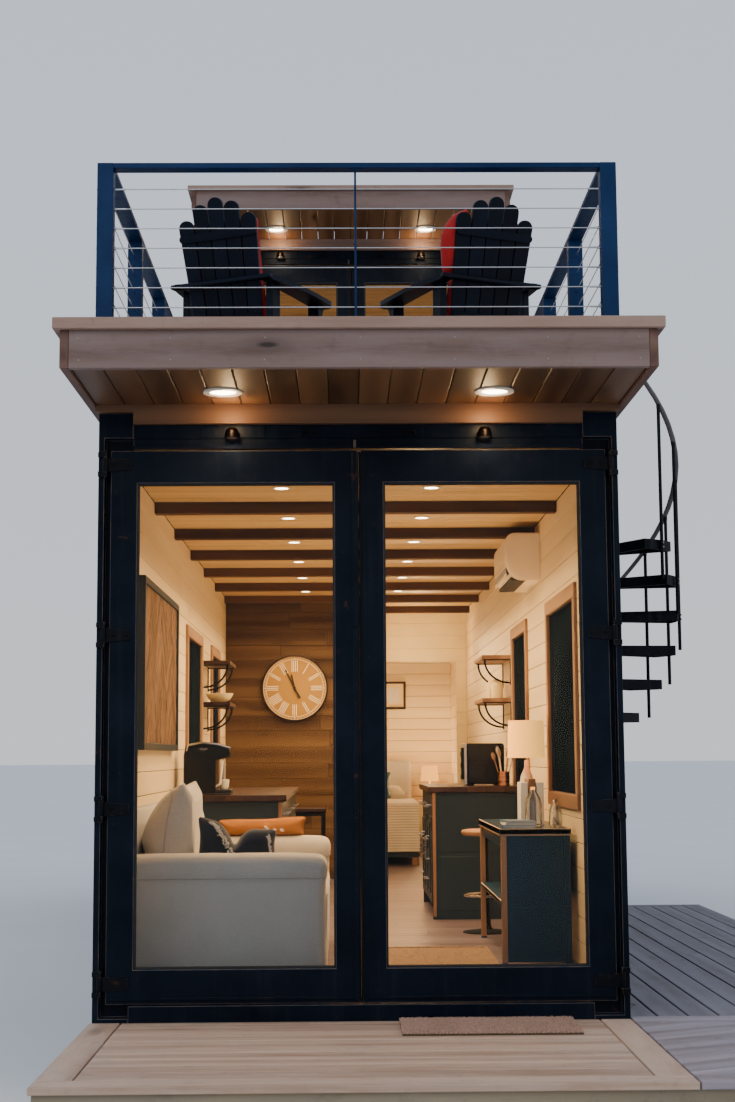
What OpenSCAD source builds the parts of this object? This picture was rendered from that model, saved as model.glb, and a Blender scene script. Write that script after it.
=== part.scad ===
// Two-storey cabin made from a 40 ft high-cube container with a 20 ft container on its roof.
// Millimetres. X to the right, Y to the rear, Z up. Origin: ground level, on the centre
// line, in the plane of the lower front doors.

/* [Containers] */
// Height of the lower container's base above the ground
base_z = 200; // [195:1:215]
// Outer width of both containers
cont_w = 2438; // [2430:1:2446]
// Length of the lower container
low_l = 12192; // [12100:4:12240]
// Height of the lower container
low_h = 2896; // [2890:1:2900]
// Length of the upper container
up_l = 6058; // [6000:2:6100]
// Height of the upper container
up_h = 2591; // [2585:1:2597]
// Height of the timber bearers between the containers
bearer_h = 94; // [88:1:100]
// Thickness of the wall sheet as modelled
sheet_t = 4; // [3:0.5:6]

/* [Glazed doors] */
// Thickness of a door leaf
leaf_t = 50; // [44:1:54]
// Gap between the two leaves
leaf_gap = 16; // [14:1:24]
// Width of a leaf's hinge stile
hinge_stile = 124; // [110:1:135]
// Width of a leaf's meeting stile
meet_stile = 107; // [90:1:120]
// Height of a leaf's top and bottom rails
leaf_rail = 154; // [130:1:170]
// Radius of the hinge pins
pin_r = 8; // [6:0.5:9]

/* [Canopy and roof deck] */
// How far the canopy stands out in front
over = 850; // [800:5:900]
// Height of the canopy's fascia board
fascia_h = 165; // [150:5:170]
// Thickness of the deck boards
deck_t = 50; // [38:1:56]
// Height of the railing above the roof deck
rail_h = 927; // [900:1:960]
// Side of the square railing posts
rpost = 76; // [64:1:80]
// Number of cables in the railing
cables = 9; // [7:1:9]

/* [Spiral stair] */
// Outer radius of the treads
tread_r = 620; // [560:5:640]
// Number of treads below the landing
treads = 11; // [11:1:11]
// Angle from one tread to the next
tread_step = 22.5; // [20:0.5:24]

/* [Ground decks] */
// Height of the ground decks' surface
gd_z = 300; // [290:1:305]
// Depth of the porch in front of the doors
porch_d = 1530; // [1300:10:1700]
// Width of the side deck
side_w = 1530; // [1400:10:1600]
// Length of the side deck behind the front plane
side_l = 5950; // [5900:10:6300]

/* [Hidden] */
hw = cont_w / 2;
low_top = base_z + low_h;
up_z = low_top + bearer_h;
up_top = up_z + up_h;
up_y = low_l - up_l;
off = up_top - low_top;
soffit_z = low_top + 36;
fas_z = low_top + 24;
rd_b = fas_z + fascia_h;
rd_z = rd_b + deck_t;
rail_z = rd_z + rail_h;
rtop = 26;
cy = 178;
cx = 162;
cz = 118;
post_y = cy;
leaf_x1 = hw - 59;
leaf_z0 = gd_z + 80;
leaf_z1 = low_top - 178;
pin_x = hw - 33;
pin_y = -14;
floor_z = 390;
ceil_z = 2950;
in_x = 1160;
lining_t = 8;
stair_x = 1870;
stair_y = 5200;
col_r = 57;
riser = (rd_z - gd_z) / (treads + 1);
top_a = -47;
hinge_z = [472, 1256, 2053, 2851];
beam_y = [for (i = [0 : 6]) 1900 + i * 1160];
beam_h = 65;
// side windows: [side, y, z, width, height] of the wall opening
wins = [[1, 1120, 1240, 1240, 1120], [1, 3570, 1240, 960, 1120],
        [-1, 3900, 1240, 1210, 1120], [-1, 6090, 1240, 860, 1120]];

// box from corner a to corner b
module bx(a, b) { translate(a) cube([b[0] - a[0], b[1] - a[1], b[2] - a[2]]); }
module both() { children(); mirror([1, 0, 0]) children(); }
// rectangular ring in the XZ plane, from corner a to corner b, with side widths
module ring_xz(a, b, l, r, bt, tp) {
    difference() {
        bx(a, b);
        bx([a[0] + l, a[1] - 1, a[2] + bt], [b[0] - r, b[1] + 1, b[2] - tp]);
    }
}
// rectangular ring in the YZ plane
module ring_yz(a, b, w) {
    difference() {
        bx(a, b);
        bx([a[0] - 1, a[1] + w, a[2] + w], [b[0] + 1, b[1] - w, b[2] - w]);
    }
}
// corrugated sheet: runs along +Y from 0 to len, outer crests at x = 0, valleys at x = -d
function wave(n, pitch, d, f) = [for (i = [0 : n - 1]) each [
    [0 - f, i * pitch], [0 - f, i * pitch + pitch * 0.26],
    [-d - f, i * pitch + pitch * 0.5], [-d - f, i * pitch + pitch * 0.76]]];
module corrugated(len, h, d, t) {
    n = round(len / 278);
    pitch = len / n;
    a = concat(wave(n, pitch, d, 0), [[0, len]]);
    b = concat(wave(n, pitch, d, t), [[-t, len]]);
    m = len(a);
    linear_extrude(height = h)
        polygon(concat(a, [for (i = [m - 1 : -1 : 0]) b[i]]));
}
module win_cut(side, x0, x1, grow) {
    for (w = wins) if (w[0] == side)
        bx([x0, w[1] - grow, w[2] - grow], [x1, w[1] + w[3] + grow, w[2] + w[4] + grow]);
}

// ---------------------------------------------------------------- lower container
module foundation_pads() color("gainsboro")
    for (x = [-1160, -200, 760], y = [-15, low_l / 2 - 200, low_l - 460])
        bx([x, y, 0], [x + 400, y + 400, base_z]);

module casting(x, y, z) bx([x, y, z], [x + cx, y + cy, z + cz]);

module lower_corner_posts() color("midnightblue") both() {
    union() {
        casting(hw - cx, 0, base_z);
        bx([hw - 28, 0, base_z + cz], [hw, 60, low_top - cz]);
        bx([hw - 155, 60, base_z + cz], [hw, cy, low_top - cz]);
        casting(hw - cx, 0, low_top - cz);
    }
    union() {
        casting(hw - cx, low_l - cy, base_z);
        bx([hw - cx, low_l - cy, base_z + cz], [hw, low_l, low_top - cz]);
        casting(hw - cx, low_l - cy, low_top - cz);
    }
}

module lower_rails() color("midnightblue") {
    both() {
        bx([hw - 48, cy, base_z], [hw, low_l - cy, base_z + 162]);
        bx([hw - 60, cy, low_top - 60], [hw, low_l - cy, low_top]);
    }
    bx([-(hw - cx), low_l - 60, base_z], [hw - cx, low_l, base_z + 162]);
    bx([-(hw - cx), low_l - 60, low_top - 100], [hw - cx, low_l, low_top]);
    for (y = [900 : 1500 : 11500])
        bx([-(hw - 49), y, base_z + 30], [hw - 49, y + 60, floor_z - 60]);
}

module door_surround() color("midnightblue") {
    // header
    bx([-(hw - cx), 10, leaf_z1 + 7], [hw - cx, 90, low_top]);
    // sill
    bx([-(hw - cx), 4, base_z], [hw - cx, 90, leaf_z0 - 8]);
}

module side_wall_sheet(side) {
    difference() {
        translate([hw - 10, post_y, base_z + 162])
            corrugated(low_l - 2 * post_y, low_h - 162 - 60, 36, sheet_t);
        win_cut(side, hw - 80, hw + 20, 0);
    }
}
module lower_side_walls() color("midnightblue") {
    side_wall_sheet(1);
    mirror([1, 0, 0]) side_wall_sheet(-1);
}
module lower_rear_wall() color("midnightblue")
    translate([-(hw - cx), low_l - 10, base_z + 162]) rotate([0, 0, -90]) mirror([1, 0, 0])
        corrugated(cont_w - 2 * cx, low_h - 162 - 100, 36, sheet_t);
module roof_panels() color("midnightblue") {
    bx([-(hw - 60), cy, low_top - 22], [hw - 60, low_l - cy, low_top - 2]);
    bx([-(hw - 60), up_y + cy, up_top - 22], [hw - 60, low_l - cy, up_top - 2]);
}
module floor_slab(y0, z) difference() {
    bx([-(hw - 50), y0 + 92, z - 60], [hw - 50, low_l - 62, z]);
    both() {
        bx([hw - cx - 1, y0 - 10, z - 100], [hw, y0 + cy + 2, z + 10]);
        bx([hw - cx - 1, low_l - cy - 1, z - 100], [hw, low_l, z + 10]);
    }
}
module floors() color("burlywood") {
    floor_slab(0, floor_z);
    floor_slab(up_y, up_z + 190);
}

// ---------------------------------------------------------------- interior
module lining(side) difference() {
    bx([in_x, cy + 2, floor_z], [in_x + lining_t, low_l - 180, ceil_z + 18]);
    win_cut(side, in_x - 5, in_x + 50, 0);
}
module side_linings() color("antiquewhite") {
    lining(1);
    mirror([1, 0, 0]) lining(-1);
}
module ceiling_lining() color("tan")
    bx([-in_x, cy + 2, ceil_z], [in_x, low_l - 180, ceil_z + 18]);

module ceiling_beams() color("saddlebrown")
    for (y = beam_y) bx([-in_x, y - 45, ceil_z - beam_h], [in_x, y + 45, ceil_z]);
module feature_wall() color("peru")
    bx([-in_x, 7850, floor_z], [200, 7950, ceil_z]);
module cross_walls() color("antiquewhite") {
    // wall beside the passage, with a doorway to the wash room
    bx([100, 7950, floor_z], [200, 8240, ceil_z - beam_h]);
    bx([100, 8240, 2430], [200, 8940, ceil_z - beam_h]);
    bx([100, 8940, floor_z], [200, 9369, ceil_z - beam_h]);
    // cross wall, with the doorway to the bedroom
    bx([-in_x, 9370, floor_z], [230, 9450, ceil_z]);
    bx([230, 9370, 2430], [1058, 9450, ceil_z]);
    bx([1058, 9370, floor_z], [in_x, 9450, ceil_z]);
    // rear lining
    bx([-in_x, low_l - 190, floor_z], [in_x, low_l - 182, ceil_z]);
}
module window_frames() color("black")
    for (w = wins) scale_x(w[0])
        ring_yz([in_x + 1, w[1], w[2]], [hw - 2, w[1] + w[3], w[2] + w[4]], 40);
module scale_x(s) { if (s > 0) children(); else mirror([1, 0, 0]) children(); }
module window_casings() color("peru")
    for (w = wins) scale_x(w[0])
        ring_yz([in_x - 18, w[1] - 40, w[2] - 40],
                [in_x, w[1] + w[3] + 40, w[2] + w[4] + 40], 78);
module window_glass() color("lightblue", 0.4)
    for (w = wins) scale_x(w[0])
        bx([hw - 40, w[1] + 40, w[2] + 40], [hw - 32, w[1] + w[3] - 40, w[2] + w[4] - 40]);

// ---------------------------------------------------------------- glazed doors
// right-hand leaf; the left one mirrors it
module leaf_frame()
    ring_xz([leaf_gap / 2, 0, leaf_z0], [leaf_x1, leaf_t, leaf_z1],
            meet_stile, hinge_stile, leaf_rail, leaf_rail);
module leaf_glass()
    bx([leaf_gap / 2 + meet_stile, 16, leaf_z0 + leaf_rail],
       [leaf_x1 - hinge_stile, 36, leaf_z1 - leaf_rail]);
module leaf_hinges(s)
    for (z = hinge_z) translate([s * pin_x, pin_y, z])
        difference() {
            union() {
                cylinder(r = 12, h = 66, center = true, $fn = 48);
                translate([0, 14, 0]) rotate([90, 0, 0]) linear_extrude(height = 9)
                    polygon([[-s * 126, -21], [-s * 6, -33], [-s * 6, 33], [-s * 126, 21]]);
            }
            cylinder(r = pin_r + 0.4, h = 80, center = true, $fn = 48);
        }
module hinge_lugs() color("black") both()
    for (z = hinge_z) translate([pin_x, pin_y, z]) union() {
        for (s = [-1, 1]) translate([0, 0, s * 46]) union() {
            cylinder(r = 12, h = 22, center = true, $fn = 48);
            bx([-4, -12, -11], [32, 14, 11]);
        }
        cylinder(r = pin_r, h = 124, center = true, $fn = 48);
    }
module right_door_frame() color("midnightblue") leaf_frame();
module right_door_glass() color("lightblue", 0.4) leaf_glass();
module right_door_hinges() color("black") leaf_hinges(1);
module left_door_frame() color("midnightblue") mirror([1, 0, 0]) leaf_frame();
module left_door_glass() color("lightblue", 0.4) mirror([1, 0, 0]) leaf_glass();
module left_door_hinges() color("black") leaf_hinges(-1);

// ---------------------------------------------------------------- canopy and roof deck
module canopy_boards() color("peru") {
    bx([-(hw + 11), -over, fas_z], [hw + 11, -over + 38, rd_b]);
    both() bx([hw + 11.5, -over, fas_z], [hw + 49, up_y - 34, rd_b]);
}
module canopy_soffit() color("sienna")
    bx([-(hw + 11), -over + 38, soffit_z], [hw + 11, -1, soffit_z + 18]);
module canopy_ledger() color("peru")
    translate([0, -1, 0]) rotate([90, 0, 0]) linear_extrude(height = 37)
        polygon([[-(hw + 11), low_top + 2], [-(hw - cx - 2), low_top + 2], [-(hw - cx - 2), low_top - 56],
                 [hw - cx - 2, low_top - 56], [hw - cx - 2, low_top + 2], [hw + 11, low_top + 2],
                 [hw + 11, soffit_z], [-(hw + 11), soffit_z]]);
module downlight(x, y, z) translate([x, y, z - 8]) difference() {
    cylinder(r = 89, h = 8, $fn = 64);
    translate([0, 0, -1]) cylinder(r = 61, h = 6, $fn = 64);
}
module downlights() color("white") both() {
    downlight(616, -315, soffit_z);
    downlight(616, up_y - 315, soffit_z + off);
    // small ones in the ceiling, between the beams
    for (y = [1340, 2530, 3725, 4915, 6085, 7250])
        translate([410, y, ceil_z - 5]) difference() {
            cylinder(r = 50, h = 5, $fn = 48);
            translate([0, 0, -1]) cylinder(r = 38, h = 4, $fn = 48);
        }
}
module spot(x, y, z) translate([x, y, z]) union() {
    rotate([90, 0, 0]) cylinder(r = 34, h = 12, $fn = 48);
    translate([0, -40, 0]) sphere(r = 38, $fn = 48);
}
module header_spots() color("dimgray") both() {
    spot(592, 10, low_top - 108);
    spot(592, up_y + 10, up_top - 108);
}
module roof_deck_boards() color("tan") {
    bx([-(hw + 78), -over - 25, rd_b], [hw + 78, up_y - 34, rd_z]);
}
module roof_framing() color("burlywood") {
    for (x = [-1211, -800, -400, 0, 400, 800, 1211])
        bx([x - 19, -over + 38, soffit_z + 18], [x + 19, up_y - 40, rd_b]);
    for (y = [60, 1500, 3000, 4500, 5900])
        bx([-(hw - 4), y, low_top], [hw - 4, y + 89, soffit_z + 18]);
    // bearers under the upper container
    for (y = [up_y, 8100, 10100, low_l - 89])
        bx([-hw, y, low_top], [hw, y + 89, up_z]);
}
rp_y = [-122, 1030, 2190, 3340, 4490, 5250, 6060];
module railing_posts() color("midnightblue") {
    both() for (i = [0 : 6]) bx([hw - rpost, rp_y[i] - rpost / 2, rd_z],
                         [hw, rp_y[i] + rpost / 2, i == 0 ? rail_z : rail_z - rtop]);
    // flat bar that spaces the front cables
    bx([-15, -136, rd_z], [-5, -126, rail_z - rtop]);
}
module railing_top_rails() color("midnightblue") {
    bx([-(hw - rpost), -158, rail_z - rtop], [hw - rpost, -162 + rpost, rail_z]);
    bx([-hw, -160 + rpost, rail_z - rtop], [-(hw - rpost), 6098, rail_z]);
    bx([hw - rpost, -160 + rpost, rail_z - rtop], [hw, 4528, rail_z]);
    bx([hw - rpost, 5212, rail_z - rtop], [hw, 6098, rail_z]);
}
module railing_cables() color("silver")
    for (k = [1 : cables]) translate([0, 0, rail_z - 23 - 95 * k]) {
        translate([-(hw - rpost), -122, 0]) rotate([0, 90, 0])
            cylinder(r = 2.5, h = 2 * (hw - rpost), $fn = 16);
        translate([-(hw - rpost / 2), -122 + rpost / 2, 0]) rotate([-90, 0, 0])
            cylinder(r = 2.5, h = 6060 - 38 + 122 - 38, $fn = 16);
        translate([hw - rpost / 2, -122 + rpost / 2, 0]) rotate([-90, 0, 0])
            cylinder(r = 2.5, h = 4490 - 38 + 122 - 38, $fn = 16);
        translate([hw - rpost / 2, 5250 + 38, 0]) rotate([-90, 0, 0])
            cylinder(r = 2.5, h = 6060 - 38 - 5250 - 38, $fn = 16);
    }

// ---------------------------------------------------------------- upper container
module upper_frame() color("midnightblue") {
    both() {
        union() {
            casting(hw - cx, up_y, up_z);
            bx([hw - 28, up_y, up_z + cz], [hw, up_y + 60, up_top - cz]);
            bx([hw - 155, up_y + 60, up_z + cz], [hw, up_y + post_y, up_top - cz]);
            casting(hw - cx, up_y, up_top - cz);
        }
        bx([hw - 48, up_y + cy + 1, up_z], [hw, low_l - cy - 1, up_z + 162]);
        bx([hw - 60, up_y + cy + 1, up_top - 60], [hw, low_l - cy - 1, up_top]);
        union() {
            casting(hw - cx, low_l - cy, up_z);
            bx([hw - cx, low_l - cy, up_z + cz], [hw, low_l, up_top - cz]);
            casting(hw - cx, low_l - cy, up_top - cz);
        }
    }
    bx([-(hw - cx - 1), up_y + 10, up_top - 172], [hw - cx - 1, up_y + 90, up_top]);
    bx([-(hw - cx - 1), up_y + 4, up_z], [hw - cx - 1, up_y + 90, up_z + 172]);
    bx([-(hw - cx - 1), low_l - 60, up_z], [hw - cx - 1, low_l, up_z + 162]);
    bx([-(hw - cx - 1), low_l - 60, up_top - 100], [hw - cx - 1, low_l, up_top]);
}
module upper_side_walls() color("midnightblue") {
    both() translate([hw - 10, up_y + post_y, up_z + 162])
        corrugated(up_l - 2 * post_y, up_h - 162 - 60, 36, sheet_t);
    translate([-(hw - cx), low_l - 10, up_z + 162]) rotate([0, 0, -90]) mirror([1, 0, 0])
        corrugated(cont_w - 2 * cx, up_h - 162 - 100, 36, sheet_t);
}
module upper_lining() color("antiquewhite") {
    z0 = up_z + 190;
    z1 = up_top - 110;
    difference() {
        bx([-(in_x + lining_t), up_y + cy + 2, z0], [in_x + lining_t, low_l - 180, z1 + 18]);
        bx([-in_x, up_y, z0 - 1], [in_x, low_l - 198, z1]);
    }
}
module upper_doors() color("midnightblue") both()
    ring_xz([leaf_gap / 2, up_y, up_z + 180], [leaf_x1, up_y + leaf_t, up_top - 179],
            meet_stile, hinge_stile, leaf_rail, leaf_rail);
module upper_door_glass() color("lightblue", 0.4) both()
    bx([leaf_gap / 2 + meet_stile, up_y + 16, up_z + 180 + leaf_rail],
       [leaf_x1 - hinge_stile, up_y + 36, up_top - 179 - leaf_rail]);
module upper_canopy() color("peru") translate([0, up_y, off]) {
    // fascia and side boards
    bx([-(hw + 11), -over, fas_z + 10], [hw + 11, -over + 38, rd_b - 4]);
    both() bx([hw + 11, -over, fas_z + 10], [hw + 49, 240, rd_b - 4]);
    // soffit
    bx([-(hw + 11), -over + 38, soffit_z], [hw + 11, -1, soffit_z + 18]);
    // top board
    bx([-(hw + 78), -over - 25, rd_b - 4], [hw + 78, 240, rd_b + 32]);
    // ledger
    translate([0, -1, 0]) rotate([90, 0, 0]) linear_extrude(height = 37)
        polygon([[-(hw + 11), low_top + 2], [-(hw - cx - 2), low_top + 2], [-(hw - cx - 2), low_top - 56],
                 [hw - cx - 2, low_top - 56], [hw - cx - 2, low_top + 2], [hw + 11, low_top + 2],
                 [hw + 11, soffit_z], [-(hw + 11), soffit_z]]);
    // blocks that carry the top board on the container
    for (x = [-1100, 0, 1100]) bx([x - 40, 60, low_top], [x + 40, 220, rd_b - 4]);
}

// ---------------------------------------------------------------- spiral stair
module wedge(r, a0, a1, n)
    polygon(concat([for (i = [0 : n]) [r * cos(a0 + (a1 - a0) * i / n), r * sin(a0 + (a1 - a0) * i / n)]],
                   [for (i = [n : -1 : 0]) [(col_r + 0.6) * cos(a0 + (a1 - a0) * i / n), (col_r + 0.6) * sin(a0 + (a1 - a0) * i / n)]]));
module stair_column() color("black") translate([stair_x, stair_y, gd_z]) union() {
    cylinder(r = col_r, h = rail_z - gd_z, $fn = 64);
    cylinder(r = 150, h = 10, $fn = 64);
}
module tread() difference() {
    translate([0, 0, -75]) linear_extrude(height = 75) wedge(tread_r, -15, 15, 6);
    translate([0, 0, -76]) linear_extrude(height = 70)
        polygon([[110, -10], [(tread_r - 8) * cos(13.6), -(tread_r - 8) * sin(13.6)],
                 [tread_r - 12, 0],
                 [(tread_r - 8) * cos(13.6), (tread_r - 8) * sin(13.6)], [110, 10]]);
}
module stair_treads() color("black") {
    translate([stair_x, stair_y, rd_z]) for (k = [1 : treads])
        translate([0, 0, -k * riser]) rotate([0, 0, top_a + (k - 1) * tread_step]) tread();
    // landing
    difference() {
        bx([hw + 82, stair_y - tread_r, rd_z - 75], [stair_x + 60, stair_y + 60, rd_z]);
        translate([stair_x, stair_y, rd_z - 200]) cylinder(r = col_r + 0.6, h = 300, $fn = 64);
    }
}
hr_r = tread_r + 15;
function hr_z(a) = rd_z - riser + 1040 - riser * (a - top_a) / tread_step;
module stair_balusters() color("black") {
    translate([stair_x, stair_y, 0]) for (k = [1 : treads]) {
        a = top_a + (k - 1) * tread_step;
        rotate([0, 0, a]) translate([hr_r, 0, max(gd_z, rd_z - (k + 1) * riser - 40)])
            cylinder(r = 12.7, h = hr_z(a) - 36 - max(gd_z, rd_z - (k + 1) * riser - 40), $fn = 32);
    }
    for (x = [hw + 105, 1540, 1760]) translate([x, stair_y - tread_r + 20, rd_z])
        cylinder(r = 12.7, h = rail_h - 46, $fn = 32);
}
module stair_handrail() color("black") {
    ns = 12;
    a0 = top_a - 20;
    a1 = top_a + 9.4 * tread_step;
    n = 28;
    pts = [for (i = [0 : n]) let (a = a0 + (a1 - a0) * i / n) for (j = [0 : ns - 1])
        let (q = 360 * j / ns, r = hr_r + 21 * cos(q))
        [stair_x + r * cos(a), stair_y + r * sin(a), hr_z(a) + 21 * sin(q)]];
    polyhedron(points = pts, faces = concat(
        [[for (j = [ns - 1 : -1 : 0]) j]],
        [for (i = [0 : n - 1]) for (j = [0 : ns - 1])
            [i * ns + j, i * ns + (j + 1) % ns, (i + 1) * ns + (j + 1) % ns, (i + 1) * ns + j]],
        [[for (j = [0 : ns - 1]) n * ns + j]]));
    bx([hw + 82, stair_y - tread_r, rail_z - rtop], [1800, stair_y - tread_r + 40, rail_z]);
}

// ---------------------------------------------------------------- ground decks
module ground_deck_boards() color("tan") {
    bx([-hw - 12, -porch_d, gd_z - 28], [hw, -2, gd_z]);
    bx([hw + 6, -porch_d, gd_z - 28], [hw + side_w, side_l, gd_z]);
}
module deck_frame() color("burlywood") {
    // rims
    y0 = -porch_d + 59;
    bx([-hw, -porch_d + 20, 20], [hw + side_w - 20, -porch_d + 58, gd_z - 28]);
    bx([-hw, y0, 20], [-hw + 38, -20, gd_z - 28]);
    bx([hw + side_w - 58, y0, 20], [hw + side_w - 20, side_l - 59, gd_z - 28]);
    bx([hw + 20, side_l - 58, 20], [hw + side_w - 20, side_l - 20, gd_z - 28]);
    bx([hw + 20, y0, 20], [hw + 58, side_l - 59, gd_z - 28]);
    // joists
    for (x = [-800, -400, 0, 400, 800]) bx([x - 19, y0, 60], [x + 19, -20, gd_z - 28]);
    for (y = [-900 : 450 : side_l - 300]) bx([hw + 59, y, 60], [hw + side_w - 59, y + 38, gd_z - 28]);
    // feet
    for (x = [-hw + 39, -300, 300, hw - 89]) bx([x, y0, 0], [x + 89, y0 + 89, gd_z - 28]);
    for (y = [-1000, 1000, 3300, 5550]) {
        bx([hw + 59, y, 0], [hw + 148, y + 89, gd_z - 28]);
        bx([hw + side_w - 148, y, 0], [hw + side_w - 59, y + 89, gd_z - 28]);
    }
}

// ---------------------------------------------------------------- furniture
module sofa() color("antiquewhite") union() {
    bx([-1155, 470, floor_z + 12], [-165, 2640, floor_z + 430]);
    bx([-1155, 470, floor_z + 400], [-156, 720, 1020]);
    bx([-1155, 2400, floor_z + 400], [-156, 2640, 1020]);
    bx([-1155, 470, floor_z + 400], [-1122, 2640, 1240]);
    for (x = [-1080, -265]) for (y = [520, 2530]) bx([x, y, floor_z], [x + 40, y + 40, floor_z + 20]);
}
module sofa_cushions() color("navy") {
    // seat pads, back pads and two loose cushions
    bx([-1118, 730, 824], [-170, 1555, 900]);
    bx([-1118, 1565, 824], [-170, 2390, 900]);
    bx([-1118, 735, 905], [-842, 1550, 1362]);
    bx([-1118, 1570, 905], [-858, 2385, 1270]);
    bx([-838, 860, 905], [-408, 990, 1192]);
    bx([-838, 2415, 1024], [-298, 2555, 1132]);
}
module cabinets() color("dimgray") {
    // right-hand counter
    union() {
        bx([524, 3860, floor_z], [in_x - 20, 5300, 1245]);
        bx([500, 3840, 1240], [in_x - 20, 5320, 1280]);
    }
    // left-hand counter
    union() {
        bx([-in_x + 20, 3020, floor_z], [-470, 6000, 1215]);
        bx([-in_x + 20, 3000, 1210], [-440, 6020, 1250]);
    }
}
module desk() color("black") union() {
    bx([750, 1260, 1065], [1130, 2700, 1100]);
    for (x = [755, 1095]) for (y = [1270, 2660]) bx([x, y, floor_z], [x + 30, y + 30, 1070]);
    bx([755, 1275, 700], [1120, 2685, 722]);
    bx([784, 1274, floor_z + 15], [1096, 1292, 1066]);
}
module wall_shelves() color("saddlebrown")
    for (z = [1880, 2195]) {
        bx([-in_x, 5170, z], [-940, 5850, z + 28]);
        bx([940, 4660, z], [in_x, 5420, z + 28]);
    }
module small_furniture() color("dimgray") {
    // coffee machine
    bx([-1100, 3080, 1250], [-790, 3400, 1590]);
    // dark oven box on the right-hand counter
    bx([752, 4000, 1280], [1036, 4400, 1575]);
    // table lamp: base, stem and shade
    translate([1010, 2330, 1100]) union() {
        cylinder(r = 60, h = 20, $fn = 48);
        cylinder(r = 12, h = 380, $fn = 32);
        translate([0, 0, 374]) cylinder(r = 112, h = 220, $fn = 64);
    }
    // stool
    translate([815, 3000, floor_z]) union() {
        cylinder(r = 150, h = 18, $fn = 48);
        cylinder(r = 25, h = 600, $fn = 32);
        translate([0, 0, 598]) cylinder(r = 155, h = 40, $fn = 48);
    }
    // console table by the brown wall
    union() {
        bx([-640, 6900, 1020], [-230, 7300, 1050]);
        for (x = [-630, -275]) for (y = [6915, 7250]) bx([x, y, floor_z], [x + 35, y + 35, 1025]);
    }
    // bedside table with a lamp
    union() {
        bx([760, 11480, floor_z], [1120, 11900, 990]);
        translate([890, 11650, 980]) cylinder(r = 14, h = 240, $fn = 32);
        translate([890, 11650, 1210]) cylinder(r = 105, h = 170, $fn = 64);
    }
}
module air_conditioner() color("white")
    bx([945, 2730, 2580], [in_x - 2, 3580, 2880]);
module wall_panel_and_clock() color("peru") {
    bx([-in_x + 1, 1100, 1530], [-in_x + 41, 2960, 2450]);
    translate([-525, 7849, 2115]) rotate([90, 0, 0]) cylinder(r = 304, h = 45, $fn = 64);
    // picture on the bedroom's rear wall
    bx([280, low_l - 215, 2030], [640, low_l - 191, 2350]);
}
module bed() color("white") union() {
    bx([-900, 9650, floor_z + 60], [690, 11900, 1030]);
    bx([-900, 11840, floor_z + 60], [690, 11960, 1440]);
    for (x = [-890, 610]) for (y = [9670, 11850]) bx([x, y, floor_z], [x + 70, y + 70, floor_z + 70]);
}
module chair() union() {
    // seat, back, arms, legs of a low slatted garden chair that faces +Y
    rotate([10, 0, 0]) bx([-226, 90, 255], [226, 590, 282]);
    translate([0, 70, 262]) rotate([15, 0, 0]) bx([-222, -14, 0], [222, 10, 762]);
    for (s = [-1, 1]) {
        bx([s * 278 - 62, -66, 560], [s * 278 + 62, 640, 584]);
        bx([s * 242 - 19, 20, 0], [s * 242 + 19, 110, 565]);
        bx([s * 242 - 19, 520, 0], [s * 242 + 19, 610, 565]);
        bx([s * 242 - 19, 20, 250], [s * 242 + 19, 610, 340]);
    }
    bx([-290, -66, 560], [290, -28, 584]);
}
module roof_chairs() color("black") both()
    translate([675, 670, rd_z]) rotate([0, 0, 24]) chair();
module chair_cushions() color("red") both()
    translate([675, 670, rd_z]) rotate([0, 0, 24]) union() {
        rotate([10, 0, 0]) bx([-220, 170, 283], [220, 590, 350]);
        translate([0, 70, 262]) rotate([15, 0, 0]) bx([-213, 13, 95], [213, 92, 655]);
    }

foundation_pads();
lower_corner_posts();
lower_rails();
door_surround();
lower_side_walls();
lower_rear_wall();
roof_panels();
floors();
side_linings();
ceiling_lining();
ceiling_beams();
feature_wall();
cross_walls();
window_frames();
window_casings();
window_glass();
hinge_lugs();
left_door_frame();
left_door_glass();
left_door_hinges();
right_door_frame();
right_door_glass();
right_door_hinges();
canopy_boards();
canopy_soffit();
canopy_ledger();
downlights();
header_spots();
roof_deck_boards();
roof_framing();
railing_posts();
railing_top_rails();
railing_cables();
upper_frame();
upper_side_walls();
upper_lining();
upper_doors();
upper_door_glass();
upper_canopy();
stair_column();
stair_treads();
stair_balusters();
stair_handrail();
ground_deck_boards();
deck_frame();
sofa();
sofa_cushions();
cabinets();
desk();
wall_shelves();
small_furniture();
air_conditioner();
wall_panel_and_clock();
bed();
roof_chairs();
chair_cushions();
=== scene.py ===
import bpy
import bmesh
import math
import random
import numpy as np
from mathutils import Matrix, Vector, noise as mnoise
from mathutils.bvhtree import BVHTree


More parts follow.
